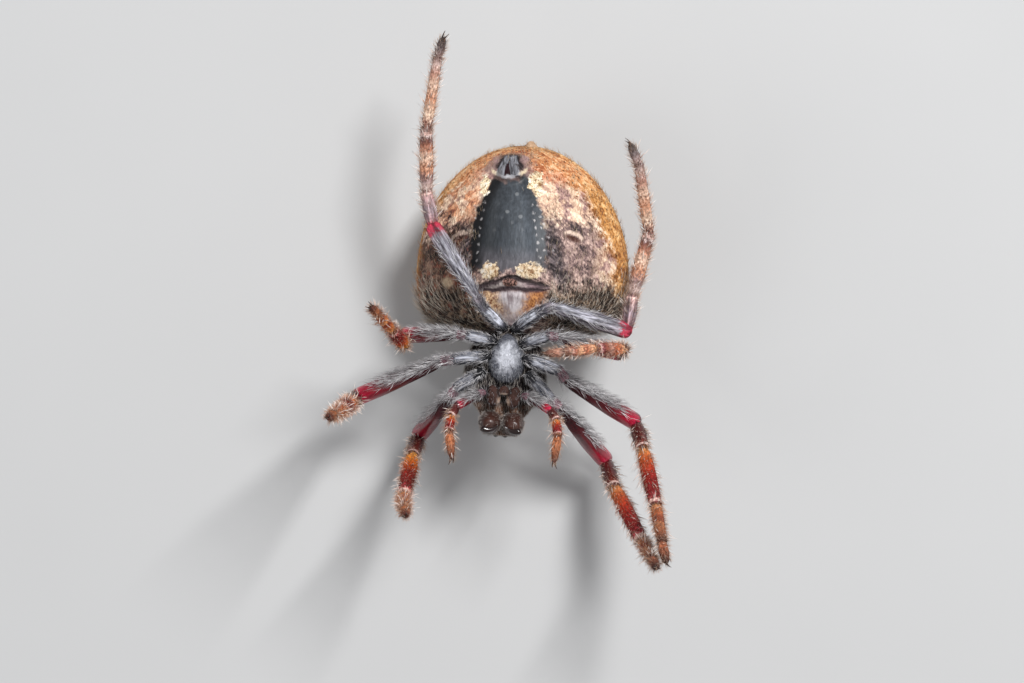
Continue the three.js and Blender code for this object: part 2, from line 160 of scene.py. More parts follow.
def points_of(mesh):
    flat = np.empty(len(mesh.vertices) * 3)
    mesh.vertices.foreach_get("co", flat)
    return flat.reshape(-1, 3)


def normals_of(mesh):
    flat = np.empty(len(mesh.vertices) * 3)
    mesh.vertex_normals.foreach_get("vector", flat)
    return flat.reshape(-1, 3)


def set_points(mesh, rows):
    mesh.vertices.foreach_set("co", rows.ravel())
    mesh.update()


def new_mesh(bm, name):
    """The mesh of a bmesh, with its faces in one fixed order, which the operators don't keep."""
    bm.verts.index_update()
    faces = []
    for face in bm.faces:
        corners = [vert.index for vert in face.verts]
        first = corners.index(min(corners))
        faces.append(corners[first:] + corners[:first])
    mesh = bpy.data.meshes.new(name)
    mesh.from_pydata([vert.co for vert in bm.verts], [], sorted(faces))
    bm.free()
    return mesh


def new_object(mesh, name):
    piece = bpy.data.objects.new(name, mesh)
    bpy.context.collection.objects.link(piece)
    return piece


def baked(piece):
    """The mesh of a piece with its modifiers applied; the piece itself goes."""
    bpy.context.view_layer.update()
    graph = bpy.context.evaluated_depsgraph_get()
    mesh = bpy.data.meshes.new_from_object(piece.evaluated_get(graph))
    bpy.data.objects.remove(piece)
    return mesh


def joined(meshes, name):
    """One mesh from several, their vertices in the same order."""
    bm = bmesh.new()
    for mesh in meshes:
        bm.from_mesh(mesh)
    return new_mesh(bm, name)


def turned(profile, steps):
    """A closed body of revolution about +Z from (height, radius) pairs, poles first and last."""
    bm = bmesh.new()
    verts = [bm.verts.new((radius, 0, height)) for height, radius in profile]
    edges = [bm.edges.new(pair) for pair in zip(verts, verts[1:])]
    bmesh.ops.spin(bm, geom=verts + edges, cent=(0, 0, 0), axis=AXIS, dvec=(0, 0, 0),
                   angle=2 * pi, steps=steps, use_merge=True)
    bmesh.ops.remove_doubles(bm, verts=bm.verts, dist=1e-5)
    bmesh.ops.recalc_face_normals(bm, faces=bm.faces)
    return bm


def ball(segments, rings, reshape):
    """A unit sphere with its poles on Y, each corner moved by reshape(x, y, z)."""
    bm = bmesh.new()
    bmesh.ops.create_uvsphere(bm, u_segments=segments, v_segments=rings, radius=1)
    bmesh.ops.rotate(bm, verts=bm.verts, matrix=Matrix.Rotation(pi / 2, 3, "X"))
    for vert in bm.verts:
        vert.co = reshape(*vert.co)
    bmesh.ops.recalc_face_normals(bm, faces=bm.faces)
    return bm


def place(bm, turn, at):
    """Turns a shape about the origin, then moves it."""
    bmesh.ops.transform(bm, matrix=Matrix.Translation(at) @ turn.to_4x4(), verts=bm.verts)
    return bm


# ---- abdomen -----------------------------------------------------------------------

def abdomen_point(x, y, z, inset):
    """Where a point of the unit sphere lies on the abdomen, less the inset."""
    a = ABDOMEN
    ring = max(1 - y * y, 0) ** 0.5
    across = x / ring if ring > 1e-6 else 0
    up = z / ring if ring > 1e-6 else 0

    def fullness(blunt):
        return ring if y > 0 else max(1 - (-y) ** blunt, 0) ** (1 / blunt)

    reach = a["behind"] if y > 0 else a["ahead"]
    height = a["belly"] if up > 0 else a["back"]
    width = (a["half_width"] - inset) * (1 - a["belly_pinch"] * max(up, 0))
    return Vector((
        width * fullness(a["front_bluntness"]) * across,
        (reach - inset) * y,
        (height - inset) * fullness(a["front_depth_bluntness"]) * up - a["tail_drop"] * max(y, 0) ** 2,
    ))


def abdomen_shells():
    """The abdomen and the small knobs round its tail end."""
    body = ball(96, 64, lambda x, y, z: abdomen_point(x, y, z, BODY_COAT))
    yield place(body, ABDOMEN_TURN, ABDOMEN["centre"])
    for across, up in KNOBS:
        behind = (1 - across * across - up * up) ** 0.5
        out = Vector((across, behind, up))
        knob = ball(16, 12, lambda x, y, z: Vector((x * 0.25, y * 0.36, z * 0.25)))
        turn = ABDOMEN_TURN @ Vector((0, 1, 0)).rotation_difference(out).to_matrix()
        seat = abdomen_point(across, behind, up, BODY_COAT) - out * 0.1
        yield place(knob, turn, ABDOMEN["centre"] + ABDOMEN_TURN @ seat)


def spinneret_seat():
    """Where the spinnerets stand, and how they are turned."""
    seat = ABDOMEN["centre"] + ABDOMEN_TURN @ abdomen_point(-0.07, 0.8, 0.596, 0)
    return seat, Euler((radians(-32), radians(-6), 0)).to_matrix()


def spinneret_shells():
    """Two pairs of leaning cones on a low mound, and the knob behind them."""
    seat, turn = spinneret_seat()
    mound = ball(24, 16, lambda x, y, z: Vector((x * 0.58, y * 0.5, z * 0.22)))
    yield place(mound, turn, seat)
    cones = [(0.3, -0.28, 0.66, 0.22, -30), (0.2, 0.16, 0.5, 0.15, -12)]
    for side in (-1, 1):
        for out, back, length, radius, tilt in cones:
            tip = [(0, 0), (0.01, radius), (length * 0.55, radius * 0.92), (length * 0.74, radius * 0.62),
                   (length * 0.95, radius * 0.45), (length, 0)]
            cone = turned(tip, 16)
            lean = Euler((radians(tilt), radians(side * -14), 0)).to_matrix()
            yield place(cone, turn @ lean, seat + turn @ Vector((side * out, back, 0.0)))
    knob = turned([(0, 0), (0.01, 0.14), (0.2, 0.13), (0.3, 0.07), (0.33, 0)], 14)
    yield place(knob, turn @ Euler((radians(-30), 0, 0)).to_matrix(), seat + turn @ Vector((0, 0.5, 0)))


def scape_shell():
    """The little tongue that lies over the furrow of the belly, pointing back."""
    seat = ABDOMEN["centre"] + ABDOMEN_TURN @ Vector((-0.18, -0.06, 3.3))
    tongue = turned([(0, 0), (0.02, 0.13), (0.2, 0.12), (0.34, 0.07), (0.42, 0.05), (0.45, 0)], 12)
    lean = Euler((radians(-62), 0, 0)).to_matrix()
    return place(tongue, ABDOMEN_TURN @ lean, seat)


# ---- cephalothorax -----------------------------------------------------------------

def carapace_point(x, y, z, inset):
    """Where a point of the unit sphere lies on the carapace, from the waist."""
    c = CARAPACE
    ring = max(1 - y * y, 0) ** 0.5
    along = (1 - y) / 2
    fullness = max(1 - abs(y) ** 2.6, 0) ** (1 / 2.6)
    across = x / ring if ring > 1e-6 else 0
    up = z / ring if ring > 1e-6 else 0
    height = c["rise"] if up > 0 else c["depth"]
    half = blend(c["half_width"], c["head_half_width"], float(smooth(along, c["head_start"], 0.86)))
    squared = abs(across) ** 0.85 * (1 if across > 0 else -1)
    return Vector((
        (half - inset) * fullness * squared,
        (c["length"] / 2 - inset) * y - c["length"] / 2,
        (height - inset) * fullness * up,
    ))


def sternum_point(x, y, z, inset):
    """Where a point of the unit sphere lies on the sternum, from the waist."""
    s = STERNUM
    taper = 1 - 0.35 * max(y, 0)
    top = s["base"] + (s["top"] - s["base"] - inset) * z ** 0.7 if z > 0 else -0.3 + z * 0.3
    return Vector((
        (s["half_width"] - inset) * x * taper,
        (s["length"] / 2 - inset) * y - s["start"] - s["length"] / 2,
        top,
    ))


def jaw_base(side):
    """One leaf-shaped lobe beside the lip, leaning in towards its tip."""
    lobe = ball(32, 20, lambda x, y, z: Vector(
        (x * (0.3 - 0.07 * y), y * 0.48, z * (0.24 if z > 0 else 0.3))))
    turn = Matrix.Rotation(radians(side * -12), 3, "Z")
    return place(lobe, turn, Vector((side * 0.44, -MOUTH_AHEAD - 0.27, 0.74)))


def fore_shells():
    """Carapace, sternum, waist, lip and the two jaw bases."""
    shells = [
        ball(64, 40, lambda x, y, z: carapace_point(x, y, z, FORE_COAT)),
        ball(40, 28, lambda x, y, z: sternum_point(x, y, z, FORE_COAT)),
    ]
    stalk = turned([(-0.4, 0), (-0.35, 0.2), (0.5, 0.2), (1.4, 0.2), (1.45, 0)], 16)
    shells.append(place(stalk, Euler((radians(-90), 0, 0)).to_matrix(), Vector((0, -0.3, -0.05))))
    lip = ball(24, 16, lambda x, y, z: Vector((x * 0.27, y * 0.26, z * 0.22)))
    shells.append(place(lip, Matrix.Identity(3), Vector((0, -MOUTH_AHEAD - 0.02, 0.76))))
    shells += [jaw_base(side) for side in (-1, 1)]
    for bm in shells:
        yield place(bm, FORE_TURN, WAIST)


# ---- relief on the trunk -----------------------------------------------------------

def bump_at(rows, centre, radius):
    """1 at the centre, falling to 0 at each radius; rows are local places."""
    away = (rows - np.array(centre)) / np.array(radius)
    return np.exp(-2.2 * (away ** 2).sum(1))


def furrow_line(x):
    """Where the cross furrow of the belly runs, as y over x, in the abdomen's own frame."""
    return 0.11 - 0.125 * (x + 0.15) ** 2 + 0.13 * np.exp(-((x + 0.15) / 0.42) ** 2)


def belly_relief(local):
    """How far the skin of the abdomen stands out, in millimetres."""
    x, y, z = local.T
    under = smooth(z, 0.6, 1.6)
    wide = smooth(1.55 - np.abs(x - 0.05), 0.0, 0.25)
    gap = y - furrow_line(x) + 0.05 * np.sin(x * 5.1 + 0.6) * np.sin(x * 2.3)
    depth = gap / np.maximum(0.64 - 0.56 * ((x + 0.15) / 1.75) ** 2, 0.08)
    push = -0.13 * np.exp(-(gap / 0.07) ** 2) * wide * under
    push += 0.05 * np.exp(-((depth + 0.4) / 0.22) ** 2) * wide * under
    push += -0.035 * np.exp(-((depth + 0.93) / 0.16) ** 2) * wide * under
    push += 0.05 * np.exp(-((gap + 0.78) / 0.14) ** 2) * wide * under
    push += 0.1 * bump_at(local, (-0.2, -0.04, 3.4), (0.34, 0.2, 0.6))
    slit = np.exp(-((x + 0.4) / 0.08) ** 2) * smooth(y, 4.38, 4.5) * smooth(5.1 - y, 0, 0.15)
    push += -0.16 * slit * under
    sunken = smooth(1.2 - 0.12 * (y - 0.6) - np.abs(x + 0.2), -0.15, 0.45)
    push += -0.09 * sunken * smooth(y, 0.5, 1.4) * smooth(4.6 - y, 0, 0.8) * under
    for side in (-1, 1):
        leant = local @ np.array(Matrix.Rotation(radians(side * -26), 3, "Z"))
        seat = np.array((side * 2.42, 1.74, 2.6)) @ np.array(Matrix.Rotation(radians(side * -26), 3, "Z"))
        push += -0.14 * bump_at(leant, seat, (0.34, 0.1, 1.2))
        push += 0.08 * bump_at(leant, seat + (0, 0.2, 0), (0.4, 0.14, 1.2))
    for row, spread in ((3.3, 0.5), (2.2, 0.62)):
        for side in (-1, 1):
            push += -0.05 * bump_at(local, (side * spread - 0.2, row, 2.9), (0.09, 0.09, 1.2))
    for across, along in ((-0.52, 2.72), (-0.16, 3.4), (-0.06, 2.5)):
        push += -0.08 * bump_at(local, (across, along, 2.9), (0.08, 0.08, 1.2))
    around = np.arctan2(x, z)
    folds = np.sin(around * 23 + 1.3 * np.sin(y * 2.1)) * np.sin(y * 1.9 + around * 3)
    push += 0.012 * folds * smooth(np.abs(x), 1.6, 3.0)
    wrinkles = np.sin((np.abs(x) - y + 0.2 * np.sin(y * 2.4)) * 2 * pi / 0.42)
    push += 0.016 * wrinkles * smooth(y, 2.2, 3.2) * smooth(np.abs(x), 1.1, 1.8) * smooth(z, -0.6, 0.3)
    for row in (-0.6, 0.9, 2.2, 3.3):
        for side in (-1, 1):
            push += -0.07 * bump_at(local, (side * (1.35 - 0.18 * row), row, -3.1), (0.16, 0.12, 1.0))
    return push


def fore_relief(local):
    """Grooves of the carapace and the edge of the sternum; local is from the waist."""
    x, y, z = local.T
    back = smooth(-z, 0.4, 1.2)
    push = -0.16 * bump_at(local, (0, -1.75, -1.7), (0.1, 0.42, 0.7))
    for side in (-1, 1):
        for lean in (-55, -20, 18, 52):
            run = (side * x) * cos(radians(lean)) + (y + 1.75) * sin(radians(lean))
            off = -(side * x) * sin(radians(lean)) + (y + 1.75) * cos(radians(lean))
            mark = np.exp(-(off / 0.1) ** 2) * smooth(run, 0.25, 0.5) * smooth(1.5 - run, 0, 0.4)
            push += -0.05 * mark * back
    neck = np.exp(-((y + 2.75 - 0.35 * np.abs(x)) / 0.16) ** 2)
    push += -0.07 * neck * back * smooth(np.abs(x), 0.35, 0.8)
    under = smooth(z, 0.35, 0.6)
    rim = np.hypot(x / (0.72 - 0.1 * (y + 1.2)), (y + 1.27) / 1.12)
    push += -0.05 * np.exp(-((rim - 1.0) / 0.12) ** 2) * under * smooth(-y, 0.1, 0.3) * smooth(y, -2.45, -2.3)
    lip = np.hypot(x / 0.27, (y + MOUTH_AHEAD + 0.02) / 0.27)
    push += -0.08 * np.exp(-((lip - 1.0) / 0.16) ** 2) * under
    for seat, radius in eye_seats():
        push += 0.05 * bump_at(local, seat, (radius * 2.2,) * 3)
    return push


def eye_seats():
    """Where each eye sits, from the waist, and its radius."""
    for node in EYE_NODES:
        low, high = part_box(node)
        centre = (low + high) / 2 / MM - WAIST
        yield FORE_TURN.transposed() @ centre, (high.y - low.y) / 2 / MM


# ---- limbs -------------------------------------------------------------------------

def heading(way, rise):
    """A direction from its angle on the floor and its rise, in degrees."""
    flat = cos(radians(rise))
    return Vector((flat * cos(radians(way)), flat * sin(radians(way)), sin(radians(rise))))


def limb_links(name, root, lengths, radii, pose, kinds, pair):
    """The straight links of a limb, end to end, each turned from the last without a twist."""
    side = -1 if name.endswith("left") else 1
    out, ahead, up = root
    joint = WAIST + FORE_TURN @ Vector((side * out, -ahead, up))
    turn = None
    links = []
    for kind, length, widths, angles in zip(kinds, lengths, radii, pose):
        way = heading(*angles)
        if turn is None:
            turn = AXIS.rotation_difference(way)
        else:
            turn = links[-1]["way"].rotation_difference(way) @ turn
        links.append(dict(limb=name, pair=pair, kind=kind, start=joint.copy(), way=way,
                          turn=turn.to_matrix(), length=length, radii=widths))
        joint = joint + way * length
    return links


def all_limbs():
    """The links of the eight legs and the two palps."""
    limbs = []
    for name, pose in LEG_POSE.items():
        pair = int(name[3])
        thick = LEG_THICKNESS[pair]
        radii = [[r * thick - LEG_COAT for r in row] for row in LEG_RADII]
        limbs.append(limb_links(name, LEG_ROOTS[pair], LEG_LENGTHS[pair], radii, pose, SEGMENTS, pair))
    for name, pose in PALP_POSE.items():
        radii = [[r - PALP_COAT for r in row] for row in PALP_RADII]
        limbs.append(limb_links(name, PALP_ROOT, PALP_LENGTHS, radii, pose, PALP_SEGMENTS,
                                PALP_PAIR))
    return limbs


def link_profile(length, radii, kind):
    """(height, radius) pairs of one segment: a narrow neck, a swelling shaft and a rimmed end."""
    first, last = radii[0], radii[-1]
    stations = np.linspace(0, 1, len(radii))
    narrow = 0.95 if kind == COXA else 0.8
    back = 0.22 if kind == COXA else 0.0
    rows = [(-0.06 - back, 0), (-0.05 - back, first * 0.5), (-back, first * 0.7), (0.05 - back, first * 0.8)]
    for height in np.linspace(0.12 - back, length - 0.16, max(int(length / 0.2), 4)):
        neck = narrow + (1 - narrow) * float(smooth(height, 0.05, min(0.5, length * 0.4)))
        rows.append((height, neck * float(np.interp(height / length, stations, radii))))
    if kind == TARSUS:
        rows += [(length - 0.04, last * 0.85), (length + 0.04, last * 0.5), (length + 0.07, 0)]
    elif kind in (FEMUR, PATELLA):
        rows += [(length - 0.12, last * 0.99), (length - 0.03, last * 0.96), (length + 0.06, last * 0.84),
                 (length + 0.13, last * 0.64), (length + 0.18, last * 0.36), (length + 0.2, 0)]
    else:
        rows += [(length - 0.1, last * 0.91), (length - 0.05, last * 1.02), (length - 0.01, last),
                 (length + 0.03, last * 0.78), (length + 0.06, last * 0.4), (length + 0.07, 0)]
    return rows


def limb_shells(links):
    """Yields each segment and the soft ball in each joint, in the frame of its link."""
    for k, link in enumerate(links):
        yield turned(link_profile(link["length"], link["radii"], link["kind"]), 20), link
        if k > 0:
            size = 0.86 * min(links[k - 1]["radii"][-1], link["radii"][0])
            yield ball(14, 10, lambda x, y, z: Vector((x, y, z)) * size), link


def limb_tones(local, link, grey_side):
    """Attributes of a limb's skin from places in its link's own frame."""
    t = np.clip(local[:, 2] / link["length"], 0, 0.999)
    reach = link["kind"] + t
    rows = len(local)
    grain = np.column_stack([local[:, 0], local[:, 1], local[:, 2] + GRAIN_STARTS[link["kind"]]])
    around = np.arctan2(grain[:, 0], grain[:, 1])
    wave = np.sin(around * 4 + 2.2 * np.sin(grain[:, 2] * 1.3) + 2 * link["pair"])
    wave = wave + 0.6 * np.sin(around * 6 - grain[:, 2] * 2.1)
    return dict(
        reach=reach,
        grey_side=unit(local * (1, 1, 0)) @ np.array(grey_side),
        hind=np.ones(rows) if link["pair"] == HIND_PAIR else RINGED.get(link["limb"], 0) * (reach >= TIBIA),
        warmth=np.full(rows, WARMTH[link["limb"]]),
        limb=np.ones(rows),
        belly=np.zeros(rows),
        hollow=np.zeros(rows),
        streak=smooth(wave, -0.7, 0.9),
        grain=grain,
    )


# ---- the one skin ------------------------------------------------------------------

def trunk_mesh():
    """Every shell of the trunk as one closed skin, softened where shells meet."""
    shells = list(abdomen_shells()) + list(spinneret_shells()) + [scape_shell()] + list(fore_shells())
    piece = new_object(joined([new_mesh(bm, "shell") for bm in shells], "trunk"), "trunk")
    remesh = piece.modifiers.new("one skin", "REMESH")
    remesh.mode = "VOXEL"
    remesh.voxel_size = SKIN_VOXEL
    mesh = baked(piece)
    bm = bmesh.new()
    bm.from_mesh(mesh)
    for _ in range(SKIN_SOFTENINGS):
        bmesh.ops.smooth_vert(bm, verts=bm.verts, factor=0.5, use_axis_x=True, use_axis_y=True,
                              use_axis_z=True)
    return new_mesh(bm, "trunk")


def abdomen_local(rows):
    """Places in the abdomen's own frame."""
    return (rows - np.array(ABDOMEN["centre"])) @ np.array(ABDOMEN_TURN)


def fore_local(rows):
    """Places in the frame of the front of the body, from the waist."""
    return (rows - np.array(WAIST)) @ np.array(FORE_TURN)


def belly_share(rows):
    """1 on the abdomen, 0 on the front of the body, by which of them is nearer."""
    near = []
    for shells in (abdomen_shells(), fore_shells()):
        trees = [BVHTree.FromBMesh(bm) for bm in shells]
        near.append(np.array([min(tree.find_nearest(row)[3] for tree in trees) for row in rows.tolist()]))
    return smooth(near[1] - near[0], -0.04, 0.04)


def abdomen_grain(local):
    """Texture space whose last axis runs from the waist to the tail."""
    x, y, z = local.T
    z = z + ABDOMEN["tail_drop"] * np.maximum(y / ABDOMEN["behind"], 0) ** 2
    around = np.hypot(x, z) + 1e-6
    along = np.where(y > 0, y / ABDOMEN["behind"], y / ABDOMEN["ahead"])
    return np.column_stack([x / around * 4.2, z / around * 4.2, np.arcsin(np.clip(along, -1, 1)) * 4.4])


def hollows(rows):
    """1 in the gaps between the spinnerets, 0 on their sides and tips."""
    seat, turn = spinneret_seat()
    local = (rows - np.array(seat)) @ np.array(turn)
    # Painted shade goes where this is 1, in the gaps between the spinnerets.
    return smooth(0.3 - local[:, 2], 0.0, 0.16)


def trunk_tones(rows, belly, push):
    """Attributes of the trunk's skin."""
    abdomen = abdomen_local(rows)
    # Painted shade: the deeper a groove of the front body's relief, the darker its skin is painted.
    groove = np.clip(-push / 0.07, 0, 1) * (1 - belly)
    grain = abdomen_grain(abdomen) * belly[:, None] + fore_local(rows) * (1 - belly[:, None])
    none = np.zeros(len(rows))
    return dict(
        reach=none,
        grey_side=none,
        hind=none,
        warmth=none,
        limb=none,
        belly=belly,
        hollow=np.maximum(hollows(rows) * belly, groove),
        streak=np.full(len(rows), 0.6),
        grain=grain,
    )


def build_skin(limbs):
    """The whole skin as one mesh, with its tones and the lie of its coat."""
    trunk = trunk_mesh()
    rows = points_of(trunk)
    out = normals_of(trunk)
    belly = belly_share(rows)
    push = belly_relief(abdomen_local(rows)) * belly + fore_relief(fore_local(rows)) * (1 - belly)
    rows = rows + out * push[:, None]
    rows[:, 2] = np.maximum(rows[:, 2], SKIN_CLEARANCE)
    set_points(trunk, rows)
    tones = [trunk_tones(rows, belly, push)]
    tail = np.array(ABDOMEN_TURN @ Vector((0, 1, 0)))
    ahead = np.array(FORE_TURN @ Vector((0, -1, 0)))
    lies = [np.where(belly[:, None] > 0.5, tail, ahead)]
    meshes = [trunk]
    for links in limbs:
        for bm, link in limb_shells(links):
            local = np.array([vert.co for vert in bm.verts])
            # The side that faces up to the lamps on the hips and hind legs, where a highlight is painted, and
            # the grey-haired side on the front thighs.
            downward = link["kind"] in (COXA, TROCHANTER) or link["pair"] == HIND_PAIR
            grey_and_lit_way = link["turn"].transposed() @ Vector((0.0, 0.3, 1.0) if downward else (0.0, 1.0, 0.35))
            grey_and_lit_way.z = 0
            tones.append(limb_tones(local, link, grey_and_lit_way.normalized()))
            lies.append(np.tile(np.array(link["way"]), (len(local), 1)))
            meshes.append(new_mesh(place(bm, link["turn"], link["start"]), "segment"))
    skin = joined(meshes, "skin")
    merged = {key: np.concatenate([tone[key] for tone in tones]) for key in tones[0]}
    merged["spot"] = abdomen_local(points_of(skin))
    return skin, merged, np.concatenate(lies)


def write_tones(mesh, tones):
    """Stores the tones as attributes that the materials read."""
    for key, values in tones.items():
        if values.ndim == 2:
            layer = mesh.attributes.new(key, "FLOAT_VECTOR", "POINT")
            layer.data.foreach_set("vector", values.astype(np.float32).ravel())
        else:
            layer = mesh.attributes.new(key, "FLOAT", "POINT")
            layer.data.foreach_set("value", values.astype(np.float32))


# ---- coat --------------------------------------------------------------------------

class Ground:
    """The skin's triangles, from which hairs are rooted."""

    def __init__(self, mesh, tones, lies):
        mesh.calc_loop_triangles()
        corners = np.empty(len(mesh.loop_triangles) * 3, np.int32)
        mesh.loop_triangles.foreach_get("vertices", corners)
        self.corners = corners.reshape(-1, 3)
        self.points = points_of(mesh)
        self.normals = normals_of(mesh)
        self.tones = tones
        self.lies = lies
        a, b, c = (self.points[self.corners[:, i]] for i in range(3))
        self.areas = np.linalg.norm(np.cross(b - a, c - a), axis=1) / 2

    def root(self, density, seed):
        """Roots spread over the skin. density is hairs per square millimetre at each vertex."""
        dice = np.random.default_rng(seed)
        share = density[self.corners].mean(1) * self.areas
        count = int(share.sum())
        chosen = dice.choice(len(share), count, p=share / share.sum())
        weight = dice.random((count, 2))
        over = weight.sum(1) > 1
        weight[over] = 1 - weight[over]
        weight = np.column_stack([1 - weight.sum(1), weight])
        corners = self.corners[chosen]

        def mix(values):
            spread = weight[:, :, None] if values.ndim == 2 else weight
            return (values[corners] * spread).sum(1)

        tones = {key: mix(values) for key, values in self.tones.items()}
        return dict(at=mix(self.points), normal=unit(mix(self.normals)), lie=mix(self.lies),
                    tones=tones, dice=dice, count=count)


def coat_unwrap(tones):
    """Where each root lies on a flat unwrap of the skin: the trunk below, the limbs above."""
    grain = tones["grain"]
    around = np.arctan2(grain[:, 0], grain[:, 1]) / (2 * pi) + 0.5
    along_limb = tones["reach"] / len(SEGMENTS)
    along_trunk = np.clip(grain[:, 2] / 14 + 0.5, 0, 1)
    up = np.where(tones["limb"] > 0.5, 0.55 + 0.42 * along_limb, 0.03 + 0.45 * along_trunk)
    return np.column_stack([0.02 + 0.96 * around, up])


PATCH = 0.003                              # side of one hair's patch on the unwrap
HAIR_TAPER = np.array([1, 0.72, 0])        # thickness at the root, the bend and the tip
HAIR_SWAY = 0.25                           # how far hairs stray from the lie of the coat
PATCH_ROWS = (-0.5, 0.1, 0.5)              # the same three places up the patch


def hair_pattern():
    """One closed three-sided hair: its corners, their levels, its triangles and their patch."""
    bm = bmesh.new()
    bmesh.ops.create_cone(bm, cap_ends=True, segments=3, radius1=1, radius2=1, depth=1)
    poked = bmesh.ops.poke(bm, faces=[face for face in bm.faces if face.normal.z > 0.5])
    poked["verts"][0].co.z += 1
    bmesh.ops.triangulate(bm, faces=bm.faces)
    bm.verts.index_update()
    corners = np.array([vert.co for vert in bm.verts])
    triangles = np.array([[vert.index for vert in face.verts] for face in bm.faces])
    bm.free()
    levels = np.round(corners[:, 2] + 0.5).astype(int)
    spokes = np.round(np.arctan2(corners[:, 1], corners[:, 0]) / (2 * pi / 3) + 3.25).astype(int) % 3
    patch = []
    for triangle in triangles:
        rim = set(spokes[triangle[levels[triangle] < 2]])
        strip = next(k for k in range(3) if rim >= {k, (k + 1) % 3})
        for corner in triangle:
            spoke, level = spokes[corner], levels[corner]
            if len(rim) == 3:                          # the small base
                patch.append((spoke / 2 - 0.5, 0.5 if spoke == 1 else -0.5))
                continue
            along = 0.5 if level == 2 else float(spoke != strip)
            patch.append(((strip + along) / 3 - 0.5, PATCH_ROWS[level]))
    return corners[:, :2], levels, triangles, np.array(patch) * PATCH


HAIR_ROUND, HAIR_LEVELS, HAIR_TRIANGLES, HAIR_PATCH = hair_pattern()


def spikes(name, roots, length, width, lift, droop):
    """One mesh of bent three-sided hairs, which lie along the coat and end in a point."""
    dice, count = roots["dice"], roots["count"]
    normal = roots["normal"]
    lie = roots["lie"] + dice.normal(0, HAIR_SWAY, (count, 3))
    lie = unit(lie - normal * (lie * normal).sum(1, keepdims=True))
    length = (length * dice.uniform(0.65, 1.25, count))[:, None]     # one length or one for each hair
    width = (width * dice.uniform(0.75, 1.2, count))[:, None]
    lift = (lift * dice.uniform(0.6, 1.4, count))[:, None]
    first = lie * np.cos(lift) + normal * np.sin(lift)
    later = unit(lie * np.cos(lift - droop) + normal * np.sin(lift - droop))
    base = roots["at"] - normal * width
    bend = base + first * length * 0.5
    tip = bend + later * length * 0.55
    across = unit(np.cross(first, normal))
    upward = np.cross(first, across)
    stations = np.stack([base, bend, tip], axis=1)[:, HAIR_LEVELS]
    spokes = np.stack([across, upward], axis=1).transpose(0, 2, 1) @ HAIR_ROUND.T
    rows = stations + spokes.transpose(0, 2, 1) * (width * HAIR_TAPER[HAIR_LEVELS])[:, :, None]
    rows[:, :, 2] = np.maximum(rows[:, :, 2], HAIR_CLEARANCE)
    corners = len(HAIR_LEVELS)
    faces = (HAIR_TRIANGLES[None] + corners * np.arange(count)[:, None, None]).reshape(-1, 3)
    mesh = bpy.data.meshes.new(name)
    mesh.from_pydata(rows.reshape(-1, 3), [], faces)
    write_tones(mesh, {key: np.repeat(values, corners, axis=0) for key, values in roots["tones"].items()})
    shade = 0.6 * dice.random(count) + 0.4 * roots["tones"]["streak"]
    write_tones(mesh, dict(shade=np.repeat(shade, corners)))
    layer = mesh.uv_layers.new(name="OFBake")
    flat = coat_unwrap(roots["tones"])[:, None, :] + HAIR_PATCH[None]
    layer.data.foreach_set("uv", flat.astype(np.float32).ravel())
    return mesh


# ---- materials ---------------------------------------------------------------------

